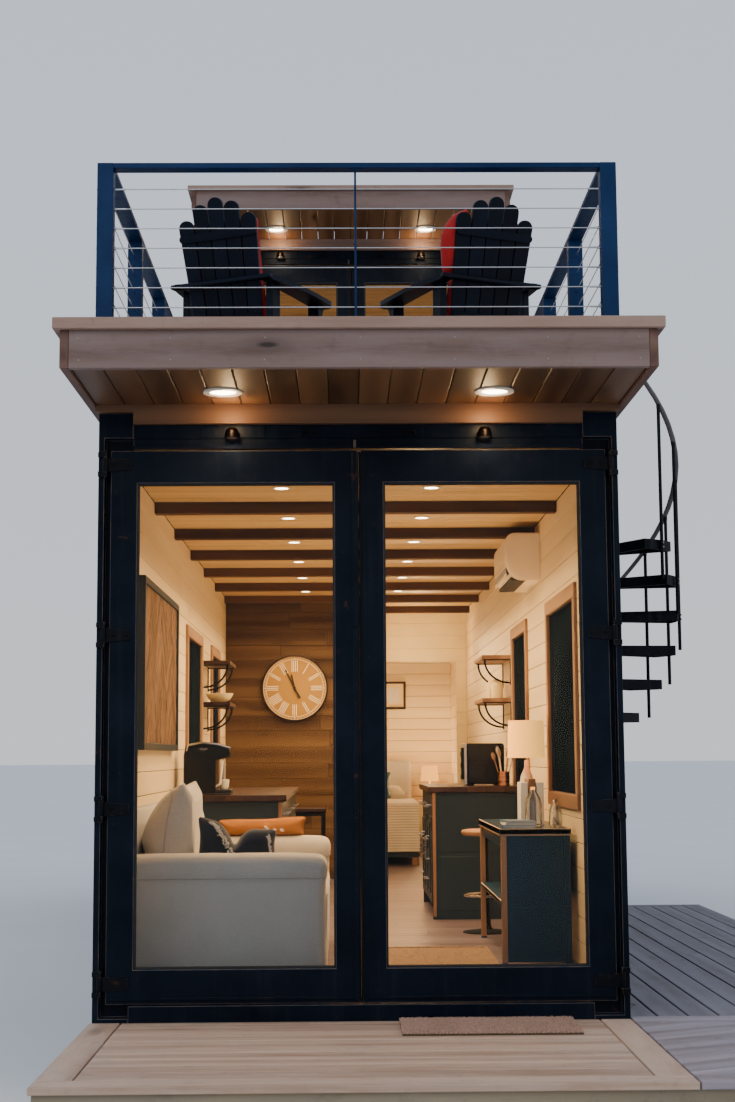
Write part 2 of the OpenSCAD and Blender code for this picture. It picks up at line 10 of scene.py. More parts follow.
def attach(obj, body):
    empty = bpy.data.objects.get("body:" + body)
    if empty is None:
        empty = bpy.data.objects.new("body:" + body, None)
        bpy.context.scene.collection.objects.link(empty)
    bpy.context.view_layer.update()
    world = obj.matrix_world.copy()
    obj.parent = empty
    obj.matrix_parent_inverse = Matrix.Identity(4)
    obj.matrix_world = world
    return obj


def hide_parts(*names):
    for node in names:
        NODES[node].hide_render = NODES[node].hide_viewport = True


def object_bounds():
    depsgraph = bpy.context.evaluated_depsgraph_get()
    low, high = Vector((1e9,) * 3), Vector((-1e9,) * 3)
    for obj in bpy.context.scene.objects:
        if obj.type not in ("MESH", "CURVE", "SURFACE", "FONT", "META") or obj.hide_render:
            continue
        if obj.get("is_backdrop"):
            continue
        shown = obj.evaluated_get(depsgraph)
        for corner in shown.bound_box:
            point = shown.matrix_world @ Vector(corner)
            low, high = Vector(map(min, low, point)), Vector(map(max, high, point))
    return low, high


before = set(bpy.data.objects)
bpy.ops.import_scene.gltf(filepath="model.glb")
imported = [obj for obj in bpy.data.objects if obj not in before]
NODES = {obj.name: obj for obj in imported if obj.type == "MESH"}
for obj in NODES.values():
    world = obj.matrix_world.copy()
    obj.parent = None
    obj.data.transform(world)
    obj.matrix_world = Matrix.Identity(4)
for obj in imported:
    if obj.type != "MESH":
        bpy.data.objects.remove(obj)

CAD_BOX = [[float(x) for x in v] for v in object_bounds()]
RND = random.Random(11)

# ------------------------------------------------------------------ shared sizes, metres
HW = 1.219
LOW_L = 12.192
LOW_TOP = 3.096
UP_Z = 3.190
UP_TOP = 5.781
UP_Y = 6.134
OFF = 2.685
SOFFIT = 3.132
FAS = 3.120
RDB = 3.285
RDZ = 3.335
RAILZ = 4.262
GD = 0.300
FLOOR = 0.390
CEIL = 2.950
INX = 1.160
WINS = [(1, 1.120, 1.240, 1.240, 1.120), (1, 3.570, 1.240, 0.960, 1.120),
        (-1, 3.900, 1.240, 1.210, 1.120), (-1, 6.090, 1.240, 0.860, 1.120)]


# ------------------------------------------------------------------ material kit
class Tree:
    """A small writer of shader node trees."""

    def __init__(self, name, **shader):
        self.m = bpy.data.materials.new(name)
        self.m.use_nodes = True
        self.t = self.m.node_tree
        self.t.nodes.clear()
        self.out = self.t.nodes.new("ShaderNodeOutputMaterial")
        self.b = self.t.nodes.new("ShaderNodeBsdfPrincipled")
        self.t.links.new(self.b.outputs[0], self.out.inputs[0])
        for k, v in shader.items():
            self.set(k.replace("_", " "), v)

    def set(self, key, v):
        if isinstance(v, bpy.types.NodeSocket):
            self.t.links.new(v, self.b.inputs[key])
        elif key in ("Base Color", "Emission Color") and len(v) == 3:
            self.b.inputs[key].default_value = (*v, 1)
        else:
            self.b.inputs[key].default_value = v

    def add(self, kind, ins=None, **props):
        n = self.t.nodes.new(kind)
        for k, v in props.items():
            setattr(n, k, v)
        for k, v in (ins or {}).items():
            if isinstance(v, bpy.types.NodeSocket):
                self.t.links.new(v, n.inputs[k])
            else:
                n.inputs[k].default_value = v
        return n

    def coords(self, src, scale=(1, 1, 1), loc=(0, 0, 0)):
        """src is 'grain' for the boards' own coordinates, or an axis that the grain runs along."""
        if src == "grain":
            v = self.add("ShaderNodeAttribute", attribute_name="grain").outputs["Vector"]
        else:
            v = self.add("ShaderNodeTexCoord").outputs["Object"]
            if src in ("y", "z"):
                s = self.add("ShaderNodeSeparateXYZ", {0: v}).outputs
                order = (1, 0, 2) if src == "y" else (2, 0, 1)
                v = self.add("ShaderNodeCombineXYZ", {i: s[order[i]] for i in range(3)}).outputs[0]
        m = self.add("ShaderNodeMapping", {"Vector": v, "Scale": scale, "Location": loc})
        return m.outputs[0]

    def rnd(self):
        return self.add("ShaderNodeAttribute", attribute_name="rnd").outputs["Fac"]

    def noise(self, v, scale, detail=3.0, rough=0.5, dist=0.0):
        return self.add("ShaderNodeTexNoise", {"Vector": v, "Scale": scale, "Detail": detail,
                                               "Roughness": rough, "Distortion": dist}).outputs["Fac"]

    def ramp(self, fac, stops, mode="LINEAR"):
        n = self.add("ShaderNodeValToRGB", {"Fac": fac})
        n.color_ramp.interpolation = mode
        e = n.color_ramp.elements
        while len(e) < len(stops):
            e.new(0.5)
        for el, (p, c) in zip(e, stops):
            el.position = p
            el.color = (c, c, c, 1) if isinstance(c, (int, float)) else (*c, 1)
        return n.outputs["Color"]

    def mix(self, fac, a, b, blend="MIX"):
        n = self.t.nodes.new("ShaderNodeMix")
        n.data_type = "RGBA"
        n.blend_type = blend
        n.clamp_factor = True
        for i, v in ((0, fac), (6, a), (7, b)):
            if isinstance(v, bpy.types.NodeSocket):
                self.t.links.new(v, n.inputs[i])
            elif i == 0:
                n.inputs[i].default_value = v
            else:
                n.inputs[i].default_value = (*v, 1) if len(v) == 3 else v
        return n.outputs[2]

    def math(self, op, a, b=0.0, clamp=False):
        n = self.add("ShaderNodeMath", {0: a, 1: b}, operation=op)
        n.use_clamp = clamp
        return n.outputs[0]

    def bump(self, height, strength, distance, normal=None):
        ins = {"Height": height, "Strength": strength, "Distance": distance}
        if normal is not None:
            ins["Normal"] = normal
        n = self.add("ShaderNodeBump", ins).outputs[0]
        self.set("Normal", n)
        return n


def wood(name, cols, src="grain", rough=(0.5, 0.7), knots=0.5, ring=48.0, vary=0.5, bump=0.25, weather=None,
         spec=0.35):
    """Plain-sawn wood: rings cut by the board, fine pores, knots, and a tone of its own for each board."""
    t = Tree(name, Specular_IOR_Level=spec)
    g = t.coords(src)
    low = t.noise(t.coords(src, (0.7, 5, 5)), 1.6, 3, 0.55, 0.4)
    # knots: sparse cells of a stretched Voronoi
    kv = t.coords(src, (1.55, 5.5, 5.5), (3.1, 1.7, 0.3))
    vor = t.add("ShaderNodeTexVoronoi", {"Vector": kv, "Scale": 1.0, "Randomness": 1.0}, feature="F1")
    sep = t.add("ShaderNodeSeparateColor", {0: vor.outputs["Color"]}).outputs
    there = t.ramp(sep[0], [(0.70 - 0.25 * knots, 0.0), (0.72 - 0.25 * knots, 1.0)])
    kd = vor.outputs["Distance"]
    halo = t.math("MULTIPLY", t.ramp(kd, [(0.02, 1.0), (0.30, 0.0)], "EASE"), there)
    core = t.math("MULTIPLY", t.ramp(kd, [(0.035, 1.0), (0.085, 0.0)]), there)
    # rings, pushed aside by the knots
    sp = t.add("ShaderNodeSeparateXYZ", {0: t.coords(src, (0.10, 1, 1))}).outputs
    wob = t.math("MULTIPLY", t.math("SUBTRACT", low, 0.5), 0.075)
    push = t.math("MULTIPLY", halo, 0.05)
    yy = t.math("ADD", t.math("ADD", sp[1], wob), push)
    zz = t.math("ADD", t.math("ADD", sp[2], wob), push)
    rv = t.add("ShaderNodeCombineXYZ", {0: sp[0], 1: yy, 2: zz}).outputs[0]
    wave = t.add("ShaderNodeTexWave", {"Vector": rv, "Scale": ring / 20.0, "Distortion": 1.2, "Detail": 3.0,
                                       "Detail Scale": 2.2, "Detail Roughness": 0.6},
                 wave_type="RINGS", rings_direction="X", wave_profile="SIN").outputs["Fac"]
    fine = t.noise(t.coords(src, (2.2, 70, 70)), 3.0, 6, 0.62, 0.2)
    pores = t.noise(t.coords(src, (7, 420, 420)), 1.0, 2, 0.5)
    f1 = t.math("ADD", t.math("MULTIPLY", wave, 0.55), t.math("MULTIPLY", fine, 0.55), True)
    col = t.ramp(f1, [(0.15, cols[0]), (0.55, cols[1]), (0.95, cols[2])])
    big = t.noise(t.coords(src, (0.5, 3.0, 3.0)), 1.2, 2)
    col = t.mix(t.ramp(big, [(0.3, 0.0), (0.75, 0.55)]), col, cols[0])
    if vary:
        r = t.rnd()
        col = t.mix(t.ramp(r, [(0.0, 0.55 * vary), (0.5, 0.0)]), col, tuple(c * 0.42 for c in cols[0]))
        col = t.mix(t.ramp(r, [(0.5, 0.0), (1.0, 0.50 * vary)]), col, tuple(min(1, c * 1.25) for c in cols[2]))
    if weather:
        w = t.noise(t.coords(src, (0.9, 7, 7)), 2.5, 5, 0.7)
        col = t.mix(t.ramp(w, [(0.35, 0.0), (0.75, 0.75)]), col, weather)
        dirt = t.noise(t.coords(src, (1, 1, 1)), 9.0, 6, 0.7)
        col = t.mix(t.ramp(dirt, [(0.56, 0.0), (0.78, 0.35)]), col, tuple(c * 0.35 for c in cols[0]))
    if knots > 0:
        col = t.mix(t.math("MULTIPLY", halo, 0.55), col, tuple(c * 0.5 for c in cols[0]))
        col = t.mix(t.math("MULTIPLY", core, 0.9), col, tuple(c * 0.16 for c in cols[0]))
    t.set("Base Color", col)
    t.set("Roughness", t.math("ADD", t.math("MULTIPLY", fine, rough[1] - rough[0]), rough[0]))
    h = t.math("ADD", t.math("MULTIPLY", wave, 0.35), t.math("ADD", t.math("MULTIPLY", fine, 0.7),
                                                         t.math("MULTIPLY", pores, 0.4)))
    t.bump(h, bump, 0.0012)
    return t.m


def painted_steel(name, col, rough=(0.28, 0.5), dust=0.25, edge=None, rust=0.0, streak=1.0, spec=0.07):
    t = Tree(name, Specular_IOR_Level=spec, Metallic=0.0)
    o = t.coords("x")
    n1 = t.noise(o, 2.2, 5, 0.6)
    n2 = t.noise(o, 26.0, 4, 0.6)
    peel = t.noise(o, 210.0, 2, 0.5)
    drip = t.noise(t.coords("x", (22, 22, 1.1)), 1.0, 4, 0.6)
    c = t.mix(t.ramp(n1, [(0.35, 0.0), (0.75, 1.0)]), col, tuple(x * 1.9 + 0.004 for x in col))
    c = t.mix(t.math("MULTIPLY", t.ramp(drip, [(0.55, 0.0), (0.8, 1.0)]), dust * streak), c, (0.10, 0.11, 0.13))
    c = t.mix(t.math("MULTIPLY", t.ramp(n2, [(0.58, 0.0), (0.85, 1.0)]), dust * 0.7), c, (0.13, 0.12, 0.11))
    if rust:
        spots = t.math("MULTIPLY", t.ramp(t.noise(o, 13.0, 6, 0.72), [(0.62, 0.0), (0.68, 1.0)]),
                       t.ramp(t.noise(o, 1.7, 2), [(0.45, 0.0), (0.62, 1.0)]))
        c = t.mix(t.math("MULTIPLY", spots, rust), c, (0.13, 0.045, 0.018))
    t.set("Base Color", c)
    r = t.math("ADD", t.math("MULTIPLY", n1, rough[1] - rough[0]), rough[0])
    t.set("Roughness", t.math("ADD", r, t.math("MULTIPLY", t.ramp(n2, [(0.5, 0.0), (0.8, 1.0)]), 0.15)))
    h = t.math("ADD", t.math("MULTIPLY", peel, 0.35), t.math("MULTIPLY", t.noise(o, 34.0, 3), 0.65))
    t.bump(h, 0.16, 0.0012)
    return t.m


def edge_highlight_and_wear(name, paint, bare=(0.19, 0.085, 0.05)):
    """For bevel faces: a paint tone lighter than the body's, standing as a painted highlight along the edges, rubbed
    through in patches to rusty primer.
    """
    t = Tree(name, Specular_IOR_Level=0.4)
    o = t.coords("x")
    n = t.noise(o, 17.0, 6, 0.7)
    t.set("Base Color", t.mix(t.ramp(n, [(0.43, 0.0), (0.56, 1.0)]), paint, bare))
    t.set("Roughness", t.math("ADD", t.math("MULTIPLY", n, 0.3), 0.4))
    t.bump(n, 0.4, 0.001)
    return t.m


def fabric(name, a, b, thread=900.0, bump=0.5, rough=0.9, sheen=0.3, fleck=None, src="x"):
    """Plain weave: two thread directions over slow tone changes."""
    t = Tree(name, Specular_IOR_Level=0.2, Sheen_Weight=sheen, Sheen_Roughness=0.5)
    o = t.coords(src)
    s = t.add("ShaderNodeSeparateXYZ", {0: o}).outputs
    u = t.math("SINE", t.math("MULTIPLY", t.math("ADD", s[0], s[1]), thread))
    v = t.math("SINE", t.math("MULTIPLY", t.math("ADD", s[2], t.math("MULTIPLY", s[1], 0.37)), thread))
    weave = t.math("MULTIPLY", t.math("ADD", t.math("MULTIPLY", u, v), 1.0), 0.5)
    slub = t.noise(t.coords(src, (60, 60, 260)), 1.0, 3, 0.6)
    big = t.noise(o, 5.0, 3, 0.5)
    f = t.math("ADD", t.math("MULTIPLY", weave, 0.35), t.math("MULTIPLY", slub, 0.65))
    c = t.ramp(f, [(0.25, a), (0.75, b)])
    c = t.mix(t.ramp(big, [(0.4, 0.0), (0.75, 0.28)]), c, tuple(x * 0.72 for x in a))
    if fleck:
        fl = t.noise(o, 160.0, 2, 0.5)
        c = t.mix(t.ramp(fl, [(0.52, 0.0), (0.56, 1.0)]), c, fleck)
    t.set("Base Color", c)
    t.set("Roughness", t.math("ADD", t.math("MULTIPLY", slub, 0.1), rough - 0.05))
    t.bump(t.math("ADD", t.math("MULTIPLY", weave, 0.6), t.math("MULTIPLY", slub, 0.7)), bump, 0.0012)
    return t.m


def glass(name, tint=(0.93, 0.975, 0.985), rough=0.004, ior=1.45):
    t = Tree(name, Base_Color=tint, Roughness=rough, IOR=ior, Transmission_Weight=1.0)
    o = t.coords("x")
    # float glass is never quite flat
    t.bump(t.noise(o, 1.3, 2, 0.5), 0.05, 0.02)
    return t.m


def emitter(name, col, strength, surface=(0.9, 0.88, 0.84)):
    t = Tree(name, Base_Color=surface, Roughness=0.5, Emission_Color=col, Emission_Strength=strength)
    o = t.coords("x")
    t.bump(t.noise(o, 300.0, 2), 0.1, 0.0005)
    return t.m


def metal(name, col, rough=0.3, brushed=(4, 4, 400), bump=0.1):
    t = Tree(name, Metallic=1.0)
    b = t.noise(t.coords("x", brushed), 1.0, 3, 0.6)
    t.set("Base Color", t.ramp(b, [(0.3, tuple(x * 0.8 for x in col)), (0.7, col)]))
    t.set("Roughness", t.math("ADD", t.math("MULTIPLY", b, 0.18), rough - 0.09))
    t.bump(b, bump, 0.0005)
    return t.m


def plain(name, col, rough=0.5, spec=0.4, scale=30.0, amount=0.12, bump=0.12, coat=0.0):
    """Moulded or painted surface with a fine texture and slight tone changes."""
    t = Tree(name, Specular_IOR_Level=spec, Coat_Weight=coat)
    o = t.coords("x")
    n = t.noise(o, scale, 4, 0.6)
    big = t.noise(o, scale * 0.08, 3, 0.5)
    c = t.mix(t.ramp(big, [(0.3, 0.0), (0.7, amount * 3)]), col, tuple(x * 0.75 for x in col))
    c = t.mix(t.ramp(n, [(0.5, 0.0), (0.8, amount)]), c, tuple(min(1, x * 1.3 + 0.02) for x in col))
    t.set("Base Color", c)
    t.set("Roughness", t.math("ADD", t.math("MULTIPLY", n, 0.16), rough - 0.08))
    t.bump(n, bump, 0.0005)
    return t.m


def pane(name, col):
    """Side window glass in the dark: clear gloss outdoors, hardly any on the face turned to the room."""
    t = Tree(name, Coat_Weight=0.0)
    o = t.coords("x")
    g = t.add("ShaderNodeNewGeometry", {}).outputs
    pos = t.add("ShaderNodeSeparateXYZ", {0: g["Position"]}).outputs
    nor = t.add("ShaderNodeSeparateXYZ", {0: g["Normal"]}).outputs
    out = t.math("GREATER_THAN", t.math("MULTIPLY", pos[0], nor[0]), 0.0)
    n = t.noise(o, 3.0, 4, 0.6)
    t.set("Base Color", t.mix(t.ramp(n, [(0.35, 0.0), (0.75, 1.0)]), col, tuple(x * 2.2 for x in col)))
    t.set("Specular IOR Level", t.math("MULTIPLY", out, 0.5))
    t.set("Roughness", t.math("ADD", t.math("MULTIPLY", n, 0.05), 0.06))
    t.bump(n, 0.02, 0.0005)
    return t.m


def concrete(name):
    t = Tree(name, Specular_IOR_Level=0.3)
    o = t.coords("x")
    n = t.noise(o, 8.0, 8, 0.65)
    p = t.ramp(t.noise(o, 70.0, 3, 0.6), [(0.62, 1.0), (0.7, 0.0)])
    c = t.ramp(n, [(0.3, (0.27, 0.26, 0.24)), (0.7, (0.48, 0.46, 0.43))])
    t.set("Base Color", t.mix(p, (0.16, 0.15, 0.14), c))
    t.set("Roughness", t.math("ADD", t.math("MULTIPLY", n, 0.2), 0.72))
    t.bump(t.math("ADD", n, t.math("MULTIPLY", p, 0.5)), 0.5, 0.004)
    return t.m


M = {}
M["steel"] = painted_steel("navy_paint", (0.0010, 0.0030, 0.0075), rough=(0.2, 0.42), rust=0.4, dust=0.05)
M["steel_plain"] = painted_steel("navy_paint_rail", (0.0040, 0.0165, 0.0520), rough=(0.3, 0.5), rust=0.08, dust=0.03)
# edge tone for bevel faces: a navy lighter than the body paint, a painted highlight along the edges, with rusty wear
M["edge"] = edge_highlight_and_wear("navy_edge_highlight_and_wear", (0.020, 0.028, 0.048), (0.075, 0.055, 0.05))
M["hinge"] = painted_steel("hinge_paint", (0.0018, 0.0024, 0.0040), rough=(0.35, 0.6), rust=0.7, dust=0.08)
# hinge edge tone: pale grey paint as a painted highlight along the strap edges, with rusty wear
M["hinge_edge"] = edge_highlight_and_wear("hinge_edge_highlight_and_wear", (0.27, 0.23, 0.24), (0.50, 0.39, 0.34))
M["black"] = painted_steel("stair_paint", (0.0025, 0.0034, 0.0055), rough=(0.4, 0.6), rust=0.25, dust=0.2)
M["handrail"] = painted_steel("handrail_paint", (0.085, 0.078, 0.082), rough=(0.35, 0.55), rust=0.3, dust=0.2)
M["fascia"] = wood("cedar_fascia", ((0.0961, 0.0507, 0.0348), (0.1767, 0.1073, 0.0835), (0.2418, 0.1625, 0.1375)),
                   rough=(0.55, 0.75), knots=0.55, vary=0.25, weather=(0.2046, 0.1463, 0.1392))
M["fascia_side"] = wood("cedar_side", ((0.0682, 0.0279, 0.0175), (0.1364, 0.0651, 0.0455), (0.1860, 0.1023, 0.0770)),
                        rough=(0.55, 0.75), knots=0.5, vary=0.3)
M["soffit"] = wood("cedar_soffit", ((0.0423, 0.0150, 0.0048), (0.1010, 0.0418, 0.0154), (0.1551, 0.0748, 0.0308)),
                   rough=(0.42, 0.6), knots=0.9, vary=0.9)
# upper soffit: a lighter copy of the soffit cedar, painted light
M["soffit_up"] = wood("cedar_soffit_upper", ((0.075, 0.030, 0.012), (0.18, 0.085, 0.038), (0.27, 0.145, 0.070)),
                      rough=(0.42, 0.6), knots=0.9, vary=0.8)
M["ledger"] = wood("cedar_ledger", ((0.0720, 0.0288, 0.0117), (0.1215, 0.0558, 0.0247), (0.1620, 0.0810, 0.0390)), src="x",
                   rough=(0.5, 0.7), knots=0.7, vary=0.0)
M["deck"] = wood("deck_boards", ((0.27, 0.155, 0.095), (0.46, 0.30, 0.205), (0.58, 0.42, 0.31)),
                 rough=(0.55, 0.78), knots=0.45, vary=0.40, weather=(0.53, 0.40, 0.32))
M["deck_rim"] = wood("deck_rim_board", ((0.165, 0.085, 0.055), (0.285, 0.165, 0.115), (0.365, 0.235, 0.175)),
                     rough=(0.55, 0.78), knots=0.4, vary=0.2, weather=(0.33, 0.225, 0.18))
# side deck boards: the deck wood made darker and bluer, painted shade
M["deck_side"] = wood("deck_boards_side_painted_shade", ((0.0980, 0.0760, 0.0790), (0.1650, 0.1430, 0.1610), (0.2160, 0.1980, 0.2330)),
                      rough=(0.55, 0.78), knots=0.45, vary=0.40, weather=(0.1850, 0.1780, 0.2200))
# front part of the side deck: the deck wood made darker and cooler, painted shade
M["deck_front"] = wood("deck_boards_corner_painted_shade", ((0.150, 0.110, 0.105), (0.270, 0.220, 0.230), (0.350, 0.305, 0.335)),
                       rough=(0.55, 0.78), knots=0.45, vary=0.40, weather=(0.310, 0.275, 0.310))
M["stool"] = wood("stool_seat", ((0.22, 0.11, 0.045), (0.36, 0.19, 0.085), (0.47, 0.27, 0.13)), rough=(0.35, 0.55),
                  knots=0.3, vary=0.2)
M["treated"] = wood("treated_timber", ((0.13, 0.098, 0.055), (0.24, 0.185, 0.115), (0.33, 0.265, 0.175)), src="x",
                    rough=(0.6, 0.8), knots=0.6, vary=0.0, weather=(0.22, 0.19, 0.14))
M["treated_y"] = wood("treated_timber_y", ((0.13, 0.098, 0.055), (0.24, 0.185, 0.115), (0.33, 0.265, 0.175)), src="y",
                      rough=(0.6, 0.8), knots=0.6, vary=0.0, weather=(0.22, 0.19, 0.14))
M["treated_g"] = wood("treated_timber_board", ((0.13, 0.098, 0.055), (0.24, 0.185, 0.115), (0.33, 0.265, 0.175)),
                      rough=(0.6, 0.8), knots=0.6, vary=0.3, weather=(0.22, 0.19, 0.14))
M["shiplap"] = wood("cream_shiplap", ((0.6270, 0.4914, 0.2812), (0.6745, 0.5460, 0.3268), (0.7125, 0.5915, 0.3648)),
                    rough=(0.45, 0.6), knots=0.0, vary=0.08, bump=0.08)
M["ceiling"] = wood("pine_ceiling", ((0.4104, 0.2590, 0.0936), (0.5016, 0.3500, 0.1456), (0.5548, 0.4060, 0.1872)),
                    rough=(0.4, 0.55), knots=0.4, vary=0.2)
M["beam"] = wood("dark_beam", ((0.028, 0.011, 0.004), (0.070, 0.031, 0.013), (0.125, 0.062, 0.028)), src="x",
                 rough=(0.6, 0.8), knots=0.3, vary=0.0, spec=0.15)
M["feature"] = wood("brown_boards", ((0.0346, 0.0146, 0.0038), (0.0783, 0.0397, 0.0118), (0.1128, 0.0648, 0.0215)),
                    rough=(0.5, 0.7), knots=0.8, vary=0.5, spec=0.2)
M["floor"] = wood("oak_floor", ((0.0900, 0.0610, 0.0630), (0.1260, 0.0950, 0.1050), (0.1480, 0.1200, 0.1440)),
                  rough=(0.25, 0.42), knots=0.2, vary=0.5, bump=0.1, spec=0.5)
M["casing"] = wood("window_casing", ((0.17, 0.085, 0.038), (0.30, 0.17, 0.085), (0.40, 0.25, 0.14)),
                   rough=(0.5, 0.65), knots=0.3, vary=0.3)
M["dark_wood"] = wood("dark_shelf_wood", ((0.10, 0.046, 0.023), (0.21, 0.108, 0.055), (0.33, 0.185, 0.10)),
                      rough=(0.45, 0.6), knots=0.3, vary=0.4)
M["top"] = wood("counter_wood", ((0.0154, 0.0047, 0.0021), (0.0309, 0.0120, 0.0053), (0.0428, 0.0188, 0.0092)),
                rough=(0.3, 0.45), knots=0.3, vary=0.4)
M["panel_wood"] = wood("panel_slats", ((0.060, 0.026, 0.010), (0.115, 0.056, 0.023), (0.165, 0.086, 0.038)),
                       rough=(0.5, 0.65), knots=0.3, vary=0.5)
M["shelf_wood"] = wood("shelf_wood", ((0.16, 0.080, 0.038), (0.29, 0.160, 0.085), (0.40, 0.240, 0.135)),
                       rough=(0.5, 0.65), knots=0.3, vary=0.3)
M["light_wood"] = wood("light_wood", ((0.42, 0.30, 0.19), (0.55, 0.42, 0.29), (0.64, 0.52, 0.38)),
                       rough=(0.4, 0.55), knots=0.1, vary=0.3)
M["slats"] = wood("black_slats", ((0.0014, 0.0025, 0.0060), (0.0026, 0.0047, 0.0110), (0.0045, 0.0080, 0.0190)),
                  rough=(0.4, 0.6), knots=0.1, vary=0.3, bump=0.35, spec=0.10)
M["glass"] = glass("door_glass", (0.97, 0.99, 0.995), ior=1.16)
M["window"] = pane("dark_window_glass", (0.003, 0.005, 0.007))
M["rubber"] = plain("black_rubber", (0.010, 0.011, 0.012), rough=0.55, spec=0.35, scale=120)
M["pvc"] = plain("window_black", (0.012, 0.013, 0.014), rough=0.4, spec=0.45, scale=90)
M["stainless"] = metal("stainless", (0.62, 0.63, 0.65), 0.28)
M["chrome"] = metal("chrome", (0.75, 0.74, 0.72), 0.16, bump=0.03)
M["bronze"] = metal("dark_bronze", (0.014, 0.011, 0.010), 0.36)
M["trim"] = plain("white_trim", (0.72, 0.66, 0.56), rough=0.35, spec=0.5, scale=60)
M["lens"] = emitter("downlight_lens", (1.0, 0.83, 0.60), 16.0)
M["lens_in"] = emitter("ceiling_light_lens", (1.0, 0.84, 0.58), 22.0)
M["concrete"] = concrete("concrete")
M["paper"] = plain("paper_white", (0.66, 0.64, 0.60), rough=0.7, spec=0.2, scale=60, amount=0.05)
M["paper_blue"] = plain("book_cover_blue", (0.07, 0.15, 0.26), rough=0.5, spec=0.3, scale=60, amount=0.1)
M["joinery"] = plain("dark_joinery", (0.010, 0.021, 0.030), rough=0.45, spec=0.3, scale=40, bump=0.04)
# desk frame: near-black with a strong blue cast, the blue a painted reflection
M["desk_black_blue_reflection"] = plain("desk_black_blue_reflection", (0.003, 0.032, 0.064), rough=0.32, spec=0.3, scale=50, bump=0.03)
M["ac"] = plain("ac_case", (0.80, 0.68, 0.48), rough=0.35, spec=0.5, scale=80)
M["slot"] = plain("dark_slot", (0.02, 0.02, 0.02), rough=0.6, spec=0.3, scale=80)
M["white"] = plain("white_paint", (0.76, 0.62, 0.31), rough=0.5, spec=0.4, scale=60)
M["dirt"] = plain("dark_gap", (0.03, 0.025, 0.02), rough=0.9, spec=0.1, scale=60)
M["screw"] = metal("screw_steel", (0.30, 0.27, 0.25), 0.45, bump=0.2)


# ------------------------------------------------------------------ mesh kit
def _chamfer_topology():
    idx = lambda ax, s: ax * 8 + (s[0] > 0) * 4 + (s[1] > 0) * 2 + (s[2] > 0)
    pos = np.zeros((24, 3))
    sg = np.zeros((24, 3))
    own = np.zeros(24, int)
    for ax in range(3):
        for sx in (-1, 1):
            for sy in (-1, 1):
                for sz in (-1, 1):
                    i = idx(ax, (sx, sy, sz))
                    sg[i] = (sx, sy, sz)
                    own[i] = ax
                    p = np.array((sx, sy, sz), float) * 0.8
                    p[ax] = (sx, sy, sz)[ax]
                    pos[i] = p
    faces = []
    for ax in range(3):
        b, c = [k for k in range(3) if k != ax]
        for s in (-1, 1):
            q = []
            for sb, sc in ((-1, -1), (1, -1), (1, 1), (-1, 1)):
                v = [0, 0, 0]
                v[ax], v[b], v[c] = s, sb, sc
                q.append(idx(ax, v))
            faces.append(q)
    for c in range(3):
        a, b = [k for k in range(3) if k != c]
        for sa in (-1, 1):
            for sb in (-1, 1):
                q = []
                for ax, sc in ((a, -1), (a, 1), (b, 1), (b, -1)):
                    v = [0, 0, 0]
                    v[a], v[b], v[c] = sa, sb, sc
                    q.append(idx(ax, v))
                faces.append(q)
    for sx in (-1, 1):
        for sy in (-1, 1):
            for sz in (-1, 1):
                faces.append([idx(ax, (sx, sy, sz)) for ax in range(3)])
    out = []
    for f in faces:
        p = pos[f]
        n = np.cross(p[1] - p[0], p[2] - p[0])
        out.append(tuple(f) if n @ p.mean(0) > 0 else tuple(f[::-1]))
    return sg, own, out


SG, OWN, CHAM = _chamfer_topology()


